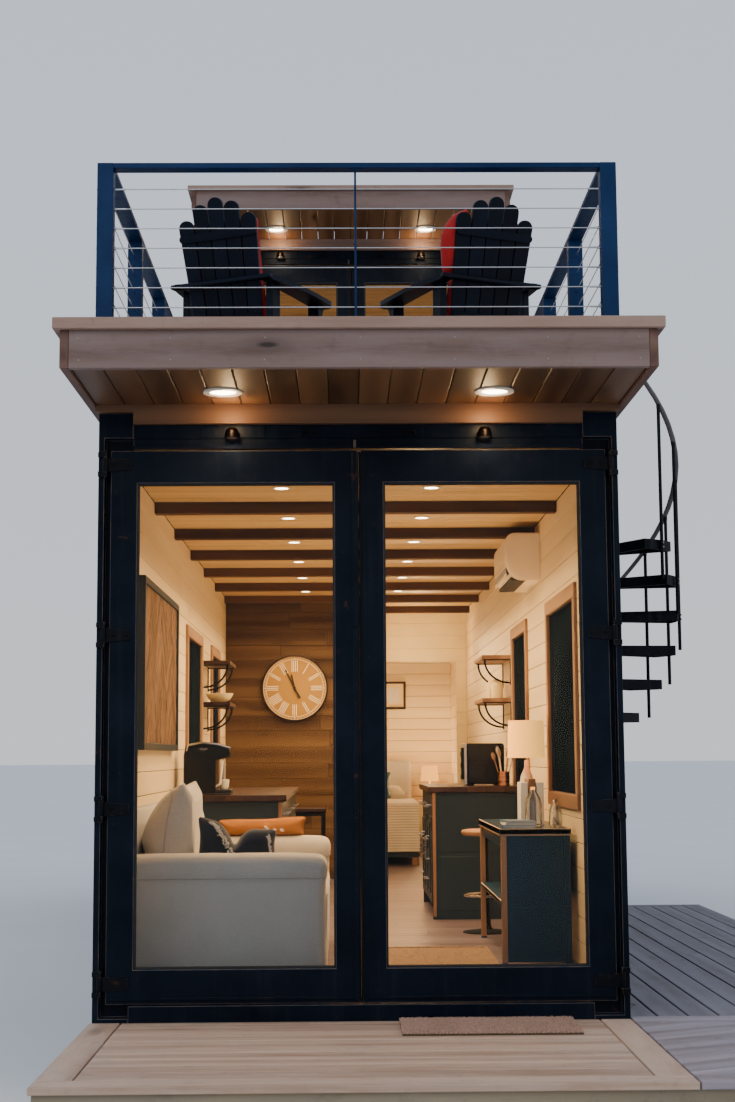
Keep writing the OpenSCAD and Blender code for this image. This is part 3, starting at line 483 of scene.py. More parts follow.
class Build:
    """Collects solids into one mesh, each with grain coordinates and a random tone of its own."""

    def __init__(self, mats):
        self.mats = mats if isinstance(mats, (list, tuple)) else [mats]
        self.v, self.g, self.r, self.f, self.mi, self.sm = [], [], [], [], [], []
        self.n = 0
        self.xf = None

    def put(self, v, faces, grain, rnd=None, mi=0, smooth=False):
        v = np.asarray(v, float)
        if self.xf is not None:
            m = np.array(self.xf)
            v = v @ m[:3, :3].T + m[:3, 3]
            if np.linalg.det(m[:3, :3]) < 0:
                faces = [f[::-1] for f in faces]
        rnd = RND.random() if rnd is None else rnd
        self.v.append(v)
        self.g.append(np.asarray(grain, float))
        self.r.append(np.full(len(v), rnd))
        self.f += [tuple(i + self.n for i in f) for f in faces]
        self.mi += [mi] * len(faces)
        self.sm += [smooth] * len(faces)
        self.n += len(v)

    def shift(self):
        return np.array((RND.uniform(-40, 40), RND.uniform(-0.16, 0.16), RND.uniform(-0.16, 0.16)))

    def box(self, a, b, axis=0, c=0.002, mi=0, rnd=None, rot=None, twist=0.0):
        """Chamfered box; the grain runs along axis. rot is (matrix, centre) to turn it."""
        a, b = np.array(a, float), np.array(b, float)
        lo, hi = np.minimum(a, b), np.maximum(a, b)
        h, ctr = (hi - lo) / 2, (hi + lo) / 2
        c = min(c, 0.45 * h.min())
        v = SG * (h - c)
        v[np.arange(24), OWN] = (SG * h)[np.arange(24), OWN]
        order = [axis] + [k for k in range(3) if k != axis]
        grain = v[:, order] + self.shift()
        w = v + ctr
        if rot is not None:
            m, o = rot
            w = (np.asarray(m) @ (w - np.asarray(o)).T).T + np.asarray(o)
        self.put(w, CHAM, grain, rnd, mi)

    def prism(self, pts, a, b, axis=1, mi=0, rnd=None, grain_axis=None, smooth=False):
        """Extrudes a 2D outline (counter-clockwise) from a to b along axis."""
        n = len(pts)
        o = [k for k in range(3) if k != axis]
        v = np.zeros((2 * n, 3))
        for i, p in enumerate(pts):
            for j, q in enumerate((a, b)):
                v[i + j * n, o[0]], v[i + j * n, o[1]], v[i + j * n, axis] = p[0], p[1], q
        faces = [tuple(range(n))[::-1], tuple(range(n, 2 * n))]
        faces += [(i, (i + 1) % n, n + (i + 1) % n, n + i) for i in range(n)]
        flip = (axis == 1) != (b < a)
        if flip:
            faces = [f[::-1] for f in faces]
        ga = o[0] if grain_axis is None else grain_axis
        order = [ga] + [k for k in range(3) if k != ga]
        self.put(v, faces, (v - v.mean(0))[:, order] + self.shift(), rnd, mi, smooth)

    def cyl(self, p, q, r, n=24, c=0.0, r2=None, mi=0, rnd=None, caps=True):
        p, q = Vector(p), Vector(q)
        r2 = r if r2 is None else r2
        d = (q - p)
        L = d.length
        d.normalize()
        u = d.orthogonal().normalized()
        w = d.cross(u)
        rings = [(0, r - c), (c, r), (L - c, r2), (L, r2 - c)] if c else [(0, r), (L, r2)]
        v = []
        for s, rr in rings:
            for k in range(n):
                a = 2 * math.pi * k / n
                v.append(p + d * s + (u * math.cos(a) + w * math.sin(a)) * rr)
        faces, m = [], len(rings)
        for i in range(m - 1):
            for k in range(n):
                k2 = (k + 1) % n
                faces.append((i * n + k, i * n + k2, (i + 1) * n + k2, (i + 1) * n + k))
        if caps:
            faces.append(tuple(range(n))[::-1])
            faces.append(tuple((m - 1) * n + k for k in range(n)))
        v = np.array([tuple(x) for x in v])
        self.put(v, faces, (v - v.mean(0))[:, [2, 0, 1]] + self.shift(), rnd, mi, True)

    def lathe(self, prof, at, n=48, axis="z", mi=0, rnd=None):
        """Turns a profile of (radius, height) round an axis through at."""
        v, faces = [], []
        for r, z in prof:
            for k in range(n):
                a = 2 * math.pi * k / n
                x, y = r * math.cos(a), r * math.sin(a)
                v.append({"z": (x, y, z), "-y": (x, -z, y), "y": (-x, z, y), "x": (z, x, y), "-x": (-z, -x, y)}[axis])
        m = len(prof)
        for i in range(m - 1):
            for k in range(n):
                k2 = (k + 1) % n
                faces.append((i * n + k, i * n + k2, (i + 1) * n + k2, (i + 1) * n + k))
        if prof[0][0] > 1e-6:
            faces.append(tuple(range(n))[::-1])
        if prof[-1][0] > 1e-6:
            faces.append(tuple((m - 1) * n + k for k in range(n)))
        v = np.array(v) + np.array(at)
        self.put(v, faces, (v - v.mean(0))[:, [2, 0, 1]] + self.shift(), rnd, mi, True)

    def tube(self, pts, r, n=12, mi=0, rnd=None, flat=None):
        """Round (or flattened) bar along points."""
        P = [Vector(p) for p in pts]
        v, faces = [], []
        up = None
        for i, p in enumerate(P):
            d = (P[min(i + 1, len(P) - 1)] - P[max(i - 1, 0)]).normalized()
            if up is None:
                up = d.orthogonal().normalized()
            up = (up - d * up.dot(d)).normalized()
            w = d.cross(up)
            rr = r[i] if isinstance(r, (list, tuple)) else r
            for k in range(n):
                a = 2 * math.pi * k / n
                f = flat or (1, 1)
                v.append(p + up * (math.cos(a) * rr * f[0]) + w * (math.sin(a) * rr * f[1]))
        for i in range(len(P) - 1):
            for k in range(n):
                k2 = (k + 1) % n
                faces.append((i * n + k, i * n + k2, (i + 1) * n + k2, (i + 1) * n + k))
        faces.append(tuple(range(n))[::-1])
        faces.append(tuple((len(P) - 1) * n + k for k in range(n)))
        v = np.array([tuple(x) for x in v])
        self.put(v, faces, (v - v.mean(0))[:, [2, 0, 1]] + self.shift(), rnd, mi, True)

    def grid(self, fn, nu, nv, mi=0, rnd=None, closed_u=False, closed_v=False, smooth=True):
        """Surface through fn(u, v) for u, v in 0..1."""
        v = [fn(i / nu, j / nv) for i in range(nu + (not closed_u)) for j in range(nv + (not closed_v))]
        cu, cv = nu + (not closed_u), nv + (not closed_v)
        faces = []
        for i in range(nu):
            for j in range(nv):
                i2, j2 = (i + 1) % cu, (j + 1) % cv
                faces.append((i * cv + j, i2 * cv + j, i2 * cv + j2, i * cv + j2))
        v = np.array([tuple(x) for x in v])
        self.put(v, faces, v - v.mean(0) + self.shift(), rnd, mi, smooth)

    def done(self, name, body="root", replaces=(), merge=False, angle=35):
        me = bpy.data.meshes.new(name)
        me.from_pydata(np.concatenate(self.v).tolist(), [], self.f)
        me.polygons.foreach_set("material_index", self.mi)
        me.polygons.foreach_set("use_smooth", self.sm)
        a = me.attributes.new("grain", "FLOAT_VECTOR", "POINT")
        a.data.foreach_set("vector", np.concatenate(self.g).astype(np.float32).ravel())
        a = me.attributes.new("rnd", "FLOAT", "POINT")
        a.data.foreach_set("value", np.concatenate(self.r).astype(np.float32))
        for m in self.mats:
            me.materials.append(m)
        me.validate()
        if merge:
            bm = bmesh.new()
            bm.from_mesh(me)
            bmesh.ops.remove_doubles(bm, verts=bm.verts, dist=1e-5)
            bmesh.ops.recalc_face_normals(bm, faces=bm.faces)
            bm.to_mesh(me)
            bm.free()
        me.set_sharp_from_angle(angle=math.radians(angle))
        o = bpy.data.objects.new(name, me)
        bpy.context.scene.collection.objects.link(o)
        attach(o, body)
        if replaces:
            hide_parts(*([replaces] if isinstance(replaces, str) else replaces))
        return o


def skin(node, *mats, bevel=None, edge=None, segments=2):
    """Gives a CAD node its material, and optionally softened edges with a material of their own."""
    o = NODES[node]
    o.data.materials.clear()
    for m in mats:
        o.data.materials.append(m)
    o.data.polygons.foreach_set("material_index", [0] * len(o.data.polygons))
    if bevel:
        w = o.modifiers.new("weld", "WELD")
        w.merge_threshold = 0.00002
        b = o.modifiers.new("soft_edges", "BEVEL")
        b.width = bevel
        b.segments = segments
        b.limit_method = "ANGLE"
        b.angle_limit = math.radians(38)
        b.harden_normals = False
        if edge:
            o.data.materials.append(edge)
            b.material = len(o.data.materials) - 1
    return o


# ------------------------------------------------------------------ camera, stage, light
def camera():
    yaw, pitch, roll = (math.radians(x) for x in (0.809, 6.829, -0.3676))
    F = Vector((math.sin(yaw) * math.cos(pitch), math.cos(yaw) * math.cos(pitch), math.sin(pitch)))
    r = Vector((math.cos(yaw), -math.sin(yaw), 0))
    u = r.cross(F)
    right = r * math.cos(roll) + u * math.sin(roll)
    up = u * math.cos(roll) - r * math.sin(roll)
    d = bpy.data.cameras.new("photo_camera")
    d.sensor_width = 36
    d.lens = 1719.38 / 1102 * 36
    d.clip_end = 900
    o = bpy.data.objects.new("photo_camera", d)
    bpy.context.scene.collection.objects.link(o)
    o.matrix_world = Matrix((
        (right.x, up.x, -F.x, -0.0733), (right.y, up.y, -F.y, -7.9697), (right.z, up.z, -F.z, 1.4851), (0, 0, 0, 1)))
    bpy.context.scene.camera = o


def area(name, at, to, size, power, col, size_y=None, spread=None, glossy=True):
    d = bpy.data.lights.new(name, "AREA")
    d.energy = power
    d.color = col
    d.size = size
    if size_y:
        d.shape = "RECTANGLE"
        d.size_y = size_y
    if spread:
        d.spread = math.radians(spread)
    o = bpy.data.objects.new(name, d)
    bpy.context.scene.collection.objects.link(o)
    o.location = at
    o.rotation_mode = "QUATERNION"
    o.rotation_quaternion = (Vector(to) - Vector(at)).to_track_quat("-Z", "Y")
    o.visible_camera = False
    o.visible_transmission = False
    o.visible_glossy = glossy
    return o


def spot_light(name, at, to, power, col, angle, blend=0.6, radius=0.03):
    d = bpy.data.lights.new(name, "SPOT")
    d.energy = power
    d.color = col
    d.spot_size = math.radians(angle)
    d.spot_blend = blend
    d.shadow_soft_size = radius
    o = bpy.data.objects.new(name, d)
    bpy.context.scene.collection.objects.link(o)
    o.location = at
    o.rotation_mode = "QUATERNION"
    o.rotation_quaternion = (Vector(to) - Vector(at)).to_track_quat("-Z", "Y")
    o.visible_camera = False
    o.visible_transmission = False
    return o


def point_light(name, at, power, col, radius=0.05):
    d = bpy.data.lights.new(name, "POINT")
    d.energy = power
    d.color = col
    d.shadow_soft_size = radius
    o = bpy.data.objects.new(name, d)
    bpy.context.scene.collection.objects.link(o)
    o.location = at
    o.visible_camera = False
    o.visible_transmission = False
    return o


WARM = (1.0, 0.64, 0.31)
WARM2 = (1.0, 0.72, 0.42)


def stage_and_light():
    t = Tree("studio_floor", Specular_IOR_Level=0.2)
    n = t.noise(t.coords("x"), 0.6, 4, 0.5)
    t.set("Base Color", t.ramp(n, [(0.3, (0.74, 0.73, 0.71)), (0.7, (0.78, 0.77, 0.75))]))
    t.set("Roughness", t.math("ADD", t.math("MULTIPLY", n, 0.1), 0.8))
    me = bpy.data.meshes.new("studio_floor")
    s = 420.0
    me.from_pydata([(-s, -s, 0), (s, -s, 0), (s, s, 0), (-s, s, 0)], [], [(0, 1, 2, 3)])
    me.materials.append(t.m)
    o = bpy.data.objects.new("studio_floor", me)
    bpy.context.scene.collection.objects.link(o)
    o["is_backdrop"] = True
    w = bpy.data.worlds.new("studio")
    bpy.context.scene.world = w
    w.use_nodes = True
    nt = w.node_tree
    nt.nodes.clear()
    out = nt.nodes.new("ShaderNodeOutputWorld")
    bg = nt.nodes.new("ShaderNodeBackground")
    tc = nt.nodes.new("ShaderNodeTexCoord")
    sp = nt.nodes.new("ShaderNodeSeparateXYZ")
    rp = nt.nodes.new("ShaderNodeValToRGB")
    nt.links.new(tc.outputs["Generated"], sp.inputs[0])
    nt.links.new(sp.outputs[2], rp.inputs[0])
    e = rp.color_ramp.elements
    e[0].position, e[0].color = 0.0, (0.80, 0.83, 0.87, 1)
    e[1].position, e[1].color = 0.75, (0.66, 0.78, 0.97, 1)
    nt.links.new(rp.outputs[0], bg.inputs["Color"])
    bg.inputs["Strength"].default_value = 1.0
    nt.links.new(bg.outputs[0], out.inputs[0])
    area("key_softbox", (-7, -13, 12), (0, 0, 2.5), 9, 700, (0.95, 0.97, 1.0))
    area("fill_softbox", (12, -7, 8), (0, 3, 2.5), 8, 300, (0.95, 0.97, 1.0))


camera()
stage_and_light()


# ------------------------------------------------------------------ steel of both containers
def steelwork():
    # frame bevels take the edge material: painted highlight along the edges, partly rusty wear
    for n in ("lower_corner_posts", "door_surround", "upper_frame"):
        skin(n, M["steel"], bevel=0.0025, edge=M["edge"])
    skin("lower_rails", M["steel"], bevel=0.002)
    for n in ("lower_side_walls", "lower_rear_wall", "upper_side_walls", "roof_panels"):
        skin(n, M["steel"])
    for n in ("left_door_frame", "right_door_frame"):
        skin(n, M["steel"], bevel=0.003, edge=M["edge"])
    skin("upper_doors", M["steel"], bevel=0.003, edge=M["edge"])
    # hinge bevels take the pale edge material: painted highlight along the strap edges, partly rusty wear
    for n in ("hinge_lugs", "left_door_hinges", "right_door_hinges"):
        skin(n, M["hinge"], bevel=0.0038, edge=M["hinge_edge"])
    skin("left_door_glass", M["glass"])
    skin("right_door_glass", M["glass"])
    skin("upper_door_glass", M["glass"])
    skin("foundation_pads", M["concrete"], bevel=0.008)
    skin("railing_posts", M["steel_plain"], bevel=0.003)
    skin("railing_top_rails", M["steel_plain"], bevel=0.003)
    skin("railing_cables", M["stainless"])
    skin("stair_column", M["black"], bevel=0.002)
    skin("stair_treads", M["black"], bevel=0.0016)
    skin("stair_balusters", M["black"])
    skin("stair_handrail", M["handrail"])
    skin("roof_framing", M["treated_y"], bevel=0.002)
    skin("deck_frame", M["treated"], bevel=0.002)
    skin("canopy_ledger", M["ledger"], bevel=0.002)
    skin("window_frames", M["pvc"], bevel=0.002)
    skin("window_glass", M["window"])
    skin("downlights", M["trim"], bevel=0.001)


steelwork()


# ------------------------------------------------------------------ canopy and roof deck
def fascia_set(b, y0, y1, dz, z0, z1):
    """Front and side boards of a canopy; the front one lies between the side boards' ends."""
    b.box((-1.2298, y0, z0 + dz), (1.2298, y0 + 0.038, z1 + dz), 0, 0.0022, 0, 0.62)
    for s in (-1, 1):
        b.box((s * 1.2308, y0, z0 + dz), (s * 1.268, y1, z1 + dz), 1, 0.0022, 1, 0.35 + 0.2 * s)


def soffit_boards(b, y0, y1, z, dz=0.018, n=18):
    w = 2.4596 / n
    for i in range(n):
        x = -1.2298 + i * w
        b.box((x + 0.0016, y0, z), (x + w - 0.0016, y1, z + dz), 1, 0.005)


def nails(b, pts, axis, r=0.0042, d=0.0012, mi=0):
    """Screw heads standing just proud of a face; axis is the face's outward direction."""
    a = Vector(axis)
    for p in pts:
        p = Vector(p)
        b.cyl(p - a * 0.002, p + a * d, r, 10, 0.0006, mi=mi, rnd=0.5)


def canopies():
    b = Build([M["fascia"], M["fascia_side"]])
    fascia_set(b, -0.85, 3.05, 0, FAS, RDB)
    for s in (-1, 1):
        b.box((s * 1.2308, 3.052, FAS), (s * 1.268, 6.098, RDB), 1, 0.0022, 1, 0.5 - 0.3 * s)
    b.done("canopy_fascia", replaces="canopy_boards")
    b = Build(M["soffit"])
    soffit_boards(b, -0.812, -0.0012, SOFFIT)
    b.done("soffit_boarding", replaces="canopy_soffit")
    b = Build([M["fascia"], M["fascia_side"], M["soffit_up"], M["deck_rim"]])
    fascia_set(b, UP_Y - 0.85, UP_Y + 0.24, OFF, FAS + 0.010, RDB - 0.004)
    # upper soffit boards in the lighter copy of the soffit cedar (painted light)
    w = 2.4596 / 18
    for i in range(18):
        x = -1.2298 + i * w
        b.box((x + 0.0016, UP_Y - 0.812, SOFFIT + OFF), (x + w - 0.0016, UP_Y - 0.0012, SOFFIT + OFF + 0.018), 1, 0.005, 2)
    y = UP_Y - 0.875
    while y < UP_Y + 0.23:
        y1 = min(y + 0.139, UP_Y + 0.24)
        b.box((-1.297, y, RDB - 0.004 + OFF), (1.297, y1 - 0.003, RDB + 0.032 + OFF), 0, 0.003, 3)
        y += 0.139
    b.box((-1.23, UP_Y - 0.038, UP_TOP + 0.002), (1.23, UP_Y - 0.001, SOFFIT + OFF), 0, 0.002, 0)
    b.box((-1.055, UP_Y - 0.038, UP_TOP - 0.056), (1.055, UP_Y - 0.001, UP_TOP + 0.004), 0, 0.002, 0)
    for x in (-1.1, 0, 1.1):
        b.box((x - 0.04, UP_Y + 0.06, UP_TOP), (x + 0.04, UP_Y + 0.22, RDB - 0.004 + OFF), 2, 0.002, 0)
    b.done("upper_canopy_boards", replaces="upper_canopy")
    # screws along the boards' ends
    b = Build(M["screw"])
    pts = []
    for x in (-1.19, -0.80, -0.40, 0.0, 0.40, 0.80, 1.19):
        for z in (FAS + 0.035, RDB - 0.035):
            pts.append((x + RND.uniform(-0.004, 0.004), -0.85, z))
    nails(b, pts, (0, -1, 0), 0.0035, 0.0008)
    for s in (-1, 1):
        pts = []
        for k in range(18):
            for z in (FAS + 0.035, RDB - 0.035):
                pts.append((s * 1.268, -0.83 + k * 0.406, z))
        nails(b, pts, (s, 0, 0), 0.0035, 0.0008)
    b.done("canopy_screws")
    # roof deck: a rim board all round and boards across
    b = Build([M["deck"], M["deck_rim"]])
    b.box((-1.297, -0.875, RDB), (1.297, -0.735, RDZ), 0, 0.003, 1, 0.6)
    y = -0.732
    while y < 6.09:
        y1 = min(y + 0.140, 6.1)
        j = RND.choice((None, -0.42, 0.35, 0.0))
        for s in (-1, 1):
            pass
        xs = [-1.156, 1.156] if j is None else [-1.156, j, 1.156]
        for k in range(len(xs) - 1):
            b.box((xs[k] + (0.001 if k else 0), y, RDZ - 0.028 - RND.uniform(0, 0.0006)),
                  (xs[k + 1] - (0.001 if k < len(xs) - 2 else 0), y1 - 0.005, RDZ - RND.uniform(0, 0.0008)), 0, 0.003)
        y += 0.140
    for s in (-1, 1):
        b.box((s * 1.159, -0.732, RDB), (s * 1.297, 2.6, RDZ), 1, 0.003, 1)
        b.box((s * 1.159, 2.603, RDB), (s * 1.297, 6.1, RDZ), 1, 0.003, 1)
    b.done("roof_deck", replaces="roof_deck_boards")
    b = Build(M["screw"])
    pts = []
    for k in range(49):
        y = -0.732 + k * 0.14
        for x in (-1.12, -0.8, -0.4, 0, 0.4, 0.8, 1.12):
            for dy in (0.03, 0.105):
                if y + dy < 6.09:
                    pts.append((x + RND.uniform(-0.004, 0.004), y + dy, RDZ - 0.0006))
    nails(b, pts, (0, 0, 1), 0.0035, 0.0004)
    b.done("roof_deck_screws")


canopies()


def lights_and_spots():
    b = Build(M["lens"])
    for s in (-1, 1):
        for y, z in ((-0.315, SOFFIT), (UP_Y - 0.315, SOFFIT + OFF)):
            b.lathe([(0.0, z - 0.0052), (0.035, z - 0.0050), (0.056, z - 0.0036), (0.0605, z - 0.0022), (0.0605, z - 0.001),
                     (0.0, z - 0.001)], (s * 0.616, y, 0), 48)
    b.done("downlight_lenses")
    b = Build(M["lens_in"])
    for s in (-1, 1):
        for y in (1.34, 2.53, 3.725, 4.915, 6.085, 7.25):
            b.lathe([(0.0, CEIL - 0.0042), (0.030, CEIL - 0.004), (0.0375, CEIL - 0.003), (0.0375, CEIL - 0.001),
                     (0.0, CEIL - 0.001)], (s * 0.41, y, 0), 32)
    b.done("ceiling_light_lenses")
    # header spots: wall plate, arm, and a hooded lamp
    b = Build([M["bronze"], M["lens"]])
    for s in (-1, 1):
        for y0, z0 in ((0.0, LOW_TOP - 0.108), (UP_Y, UP_TOP - 0.108)):
            x = s * 0.592
            b.lathe([(0.0, 0.0), (0.034, 0.0), (0.034, 0.004), (0.028, 0.009), (0.012, 0.012), (0.0, 0.012)],
                    (x, y0 + 0.0095, z0), 40, "-y")
            b.cyl((x, y0, z0), (x, y0 - 0.022, z0 + 0.004), 0.008, 16, 0.001)
            # hood: an open shell that points down
            hood = [(0.0, 0.0), (0.012, 0.0005), (0.0225, 0.005), (0.0285, 0.013), (0.031, 0.022), (0.0315, 0.026),
                    (0.0335, 0.028), (0.0345, 0.047), (0.0345, 0.050), (0.0315, 0.050), (0.031, 0.030), (0.0, 0.028)]
            b.lathe([(r, -h + 0.030) for r, h in hood], (x, y0 - 0.0395, z0 + 0.002), 40)
            b.lathe([(0.0, 0.004), (0.028, 0.004), (0.028, 0.002), (0.0, 0.002)][::-1], (x, y0 - 0.0395, z0 - 0.004), 32, mi=1)
    b.done("spot_fittings", replaces="header_spots")


lights_and_spots()


# ------------------------------------------------------------------ glazed doors
def leaf_parts(s, y0, z0, z1, tag, body):
    """Gasket, glazing beads and the strips between the leaves of one leaf. s is the side."""
    x0, x1 = 0.008 + 0.107, 1.160 - 0.124
    za, zb = z0 + 0.154, z1 - 0.154
    b = Build([M["rubber"], M["steel"], M["steel_plain"]])
    # the upright strips round the glass take the lighter navy paint, a painted highlight along the glass edges; the
    # level strips are rubber
    for (ax, az, bx_, bz) in ((x0, za, x1, za + 0.009), (x0, zb - 0.009, x1, zb), (x0, za, x0 + 0.009, zb),
                              (x1 - 0.009, za, x1, zb)):
        for ya, yb in ((y0 + 0.008, y0 + 0.0155), (y0 + 0.0365, y0 + 0.044)):
            b.box((s * ax, ya, az), (s * bx_, yb, bz), 0 if bz - az < 0.02 else 2, 0.002)
    # bulb seal on the meeting stile, and a drip strip at the foot
    if s > 0:
        b.cyl((0.0125, y0 - 0.0015, z0 + 0.01), (0.0125, y0 - 0.0015, z1 - 0.01), 0.0042, 10, 0.001, mi=1)
    if s < 0:
        # rounded closing strip on the left leaf, in three lengths
        for za_, zb_ in ((z0 + 0.012, z0 + 0.86), (z0 + 0.864, z0 + 1.70), (z0 + 1.704, z1 - 0.012)):
            b.prism([(-0.0345, y0 + 0.002), (-0.0345, y0 - 0.002), (-0.031, y0 - 0.0065), (-0.025, y0 - 0.009), (-0.013, y0 - 0.009),
                     (-0.007, y0 - 0.0065), (-0.0035, y0 - 0.002), (-0.0035, y0 + 0.002)], za_, zb_, 2, 1, grain_axis=2)
    else:
        b.box((0.016, y0 - 0.003, z0 + 0.01), (0.030, y0 + 0.002, z1 - 0.01), 2, 0.001, 1)
    b.box((s * 0.03, y0 - 0.007, z0 + 0.017), (s * 1.15, y0 + 0.001, z0 + 0.030), 0, 0.002, 1)
    ys = y0 + (0.020 if s < 0 else 0.028)
    b.box((-0.0090, ys, z0 + 0.004) if s < 0 else (0.0001, ys, z0 + 0.004),
          (-0.0004, ys + 0.003, z1 - 0.004) if s < 0 else (0.0090, ys + 0.003, z1 - 0.004), 2, 0.0006)
    b.box((s * 0.0060, ys - 0.005, z0 + 0.004), (s * 0.0090, ys + 0.008, z1 - 0.004), 2, 0.0008)
    b.done(tag + "_seals", body)


def doors():
    leaf_parts(-1, 0.0, 0.380, 2.918, "left_door", "left_door")
    leaf_parts(1, 0.0, 0.380, 2.918, "right_door", "right_door")
    leaf_parts(-1, UP_Y, UP_Z + 0.18, UP_TOP - 0.179, "upper_left_leaf", "root")
    leaf_parts(1, UP_Y, UP_Z + 0.18, UP_TOP - 0.179, "upper_right_leaf", "root")
    # bolts on the hinge straps
    for s, body in ((-1, "left_door"), (1, "right_door")):
        b = Build([M["hinge"], M["hinge_edge"]])
        for z in (0.472, 1.256, 2.053, 2.851):
            for dx, dz in ((-0.045, 0.0), (-0.105, 0.0)):
                b.cyl((s * (1.186 + dx), -0.009, z + dz), (s * (1.186 + dx), -0.0125, z + dz), 0.0075, 20, 0.0012)
            b.cyl((s * (1.186 - 0.045), -0.0125, z), (s * (1.186 - 0.045), -0.0155, z), 0.0045, 12, 0.001, mi=0)
        b.done(("left" if s < 0 else "right") + "_hinge_rivets", body)
    # header: drip channel over the leaves, keepers of the old lock rods, weld plate
    b = Build([M["steel"], M["edge"], M["hinge"]])
    for y0, zb, zt in ((0.0, 2.925, LOW_TOP), (UP_Y, UP_TOP - 0.172, UP_TOP)):
        b.box((-1.055, y0 - 0.006, zb), (1.055, y0 + 0.0102, zb + 0.008), 0, 0.002, 0)
        b.box((-1.055, y0 - 0.006, zb + 0.006), (1.055, y0 - 0.001, zb + 0.016), 0, 0.0015, 0)
        b.box((-1.055, y0 + 0.004, zb + 0.050), (1.055, y0 + 0.0102, zb + 0.054), 0, 0.0012, 0)
        for x in (-0.245, 0.245):
            b.box((x - 0.026, y0 - 0.012, zb + 0.060), (x - 0.018, y0 + 0.0102, zb + 0.088), 2, 0.002, 2)
            b.box((x + 0.018, y0 - 0.012, zb + 0.060), (x + 0.026, y0 + 0.0102, zb + 0.088), 2, 0.002, 2)
            b.box((x - 0.026, y0 - 0.0145, zb + 0.080), (x + 0.026, y0 - 0.008, zb + 0.088), 0, 0.0015, 2)
        # a small block where the leaves meet, in the lighter edge material: a painted glint on the header
        b.box((-0.024, y0 - 0.012, zb + 0.0005), (-0.012, y0 + 0.0102, zb + 0.040), 2, 0.002, 1)
        b.box((-0.74, y0 + 0.006, zb + 0.055), (-0.44, y0 + 0.0102, zb + 0.108), 0, 0.001, 0)
    b.done("header_fittings")


doors()


# ------------------------------------------------------------------ railing details
def railing():
    b = Build([M["steel_plain"], M["stainless"], M["screw"]])
    ys = [-0.122, 1.030, 2.190, 3.340, 4.490, 5.250, 6.060]
    for s in (-1, 1):
        for y in ys:
            cx_ = s * (HW - 0.038)
            b.box((cx_ - 0.056, y - 0.056, RDZ), (cx_ + 0.056, y + 0.056, RDZ + 0.008), 0, 0.0025, 0)
            for dx in (-0.047, 0.047):
                for dy in (-0.047, 0.047):
                    b.cyl((cx_ + dx, y + dy, RDZ + 0.007), (cx_ + dx, y + dy, RDZ + 0.012), 0.0055, 6, 0.001, mi=2)
    for k in range(1, 10):
        z = RAILZ - 0.023 - 0.095 * k
        # swaged ends and nuts at the posts
        for s in (-1, 1):
            x = s * (HW - 0.076)
            b.cyl((x, -0.122, z), (x - s * 0.012, -0.122, z), 0.0065, 6, 0.001, mi=1)
            b.cyl((x - s * 0.012, -0.122, z), (x - s * 0.055, -0.122, z), 0.0042, 12, 0.001, mi=1)
            b.cyl((s * (HW - 0.0), -0.122, z), (s * (HW - 0.0) + s * 0.006, -0.122, z), 0.0075, 12, 0.002, mi=1)
            b.cyl((s * (HW - 0.038), -0.084, z), (s * (HW - 0.038), -0.072, z), 0.0065, 6, 0.001, mi=1)
            b.cyl((s * (HW - 0.038), -0.072, z), (s * (HW - 0.038), -0.03, z), 0.0042, 12, 0.001, mi=1)
    b.box((-0.045, -0.150, RAILZ - 0.031), (0.028, -0.112, RAILZ - 0.0245), 0, 0.0015, 0)
    b.box((-0.035, -0.150, RDZ), (0.018, -0.112, RDZ + 0.006), 0, 0.0015, 0)
    b.done("railing_fittings")


railing()


def stair_details():
    """Collars where the balusters meet the rail, tread bolts and the column's cap and anchor bolts."""
    b = Build([M["black"], M["screw"]])
    for k in range(1, 12):
        deg = -47 + 22.5 * (k - 1)
        a = math.radians(deg)
        top = 4.122 - 0.2529 * (deg + 47) / 22.5
        x, y = 1.87 + 0.635 * math.cos(a), 5.2 + 0.635 * math.sin(a)
        b.cyl((x, y, top - 0.045), (x, y, top - 0.012), 0.0150, 16, 0.002)
        zt = 3.335 - 0.2529 * k
        for dz in (0.022, 0.055):
            u = Vector((math.cos(a), math.sin(a), 0))
            o = Vector((1.87, 5.2, zt - dz)) + u * 0.6465
            b.cyl(o, o + u * 0.007, 0.0080, 6, 0.001, mi=1)
            b.cyl(o - u * 0.040, o - u * 0.050, 0.0080, 6, 0.001, mi=1)
        # weld bead and collar at the column
        b.lathe([(0.0575, -0.075), (0.0640, -0.073), (0.0640, -0.004), (0.0575, -0.001)], (1.87, 5.2, zt), 40)
    b.lathe([(0.0, 0.010), (0.040, 0.008), (0.056, 0.0), (0.0600, -0.006), (0.0600, -0.022), (0.0575, -0.022)][::-1], (1.87, 5.2, 4.252), 40)
    for k in range(6):
        a = k * math.pi / 3 + 0.3
        x, y = 1.87 + 0.118 * math.cos(a), 5.2 + 0.118 * math.sin(a)
        b.cyl((x, y, 0.309), (x, y, 0.318), 0.0105, 6, 0.001, mi=1)
        b.cyl((x, y, 0.316), (x, y, 0.330), 0.0060, 12, 0.001, mi=1)
    b.done("stair_fittings")


stair_details()


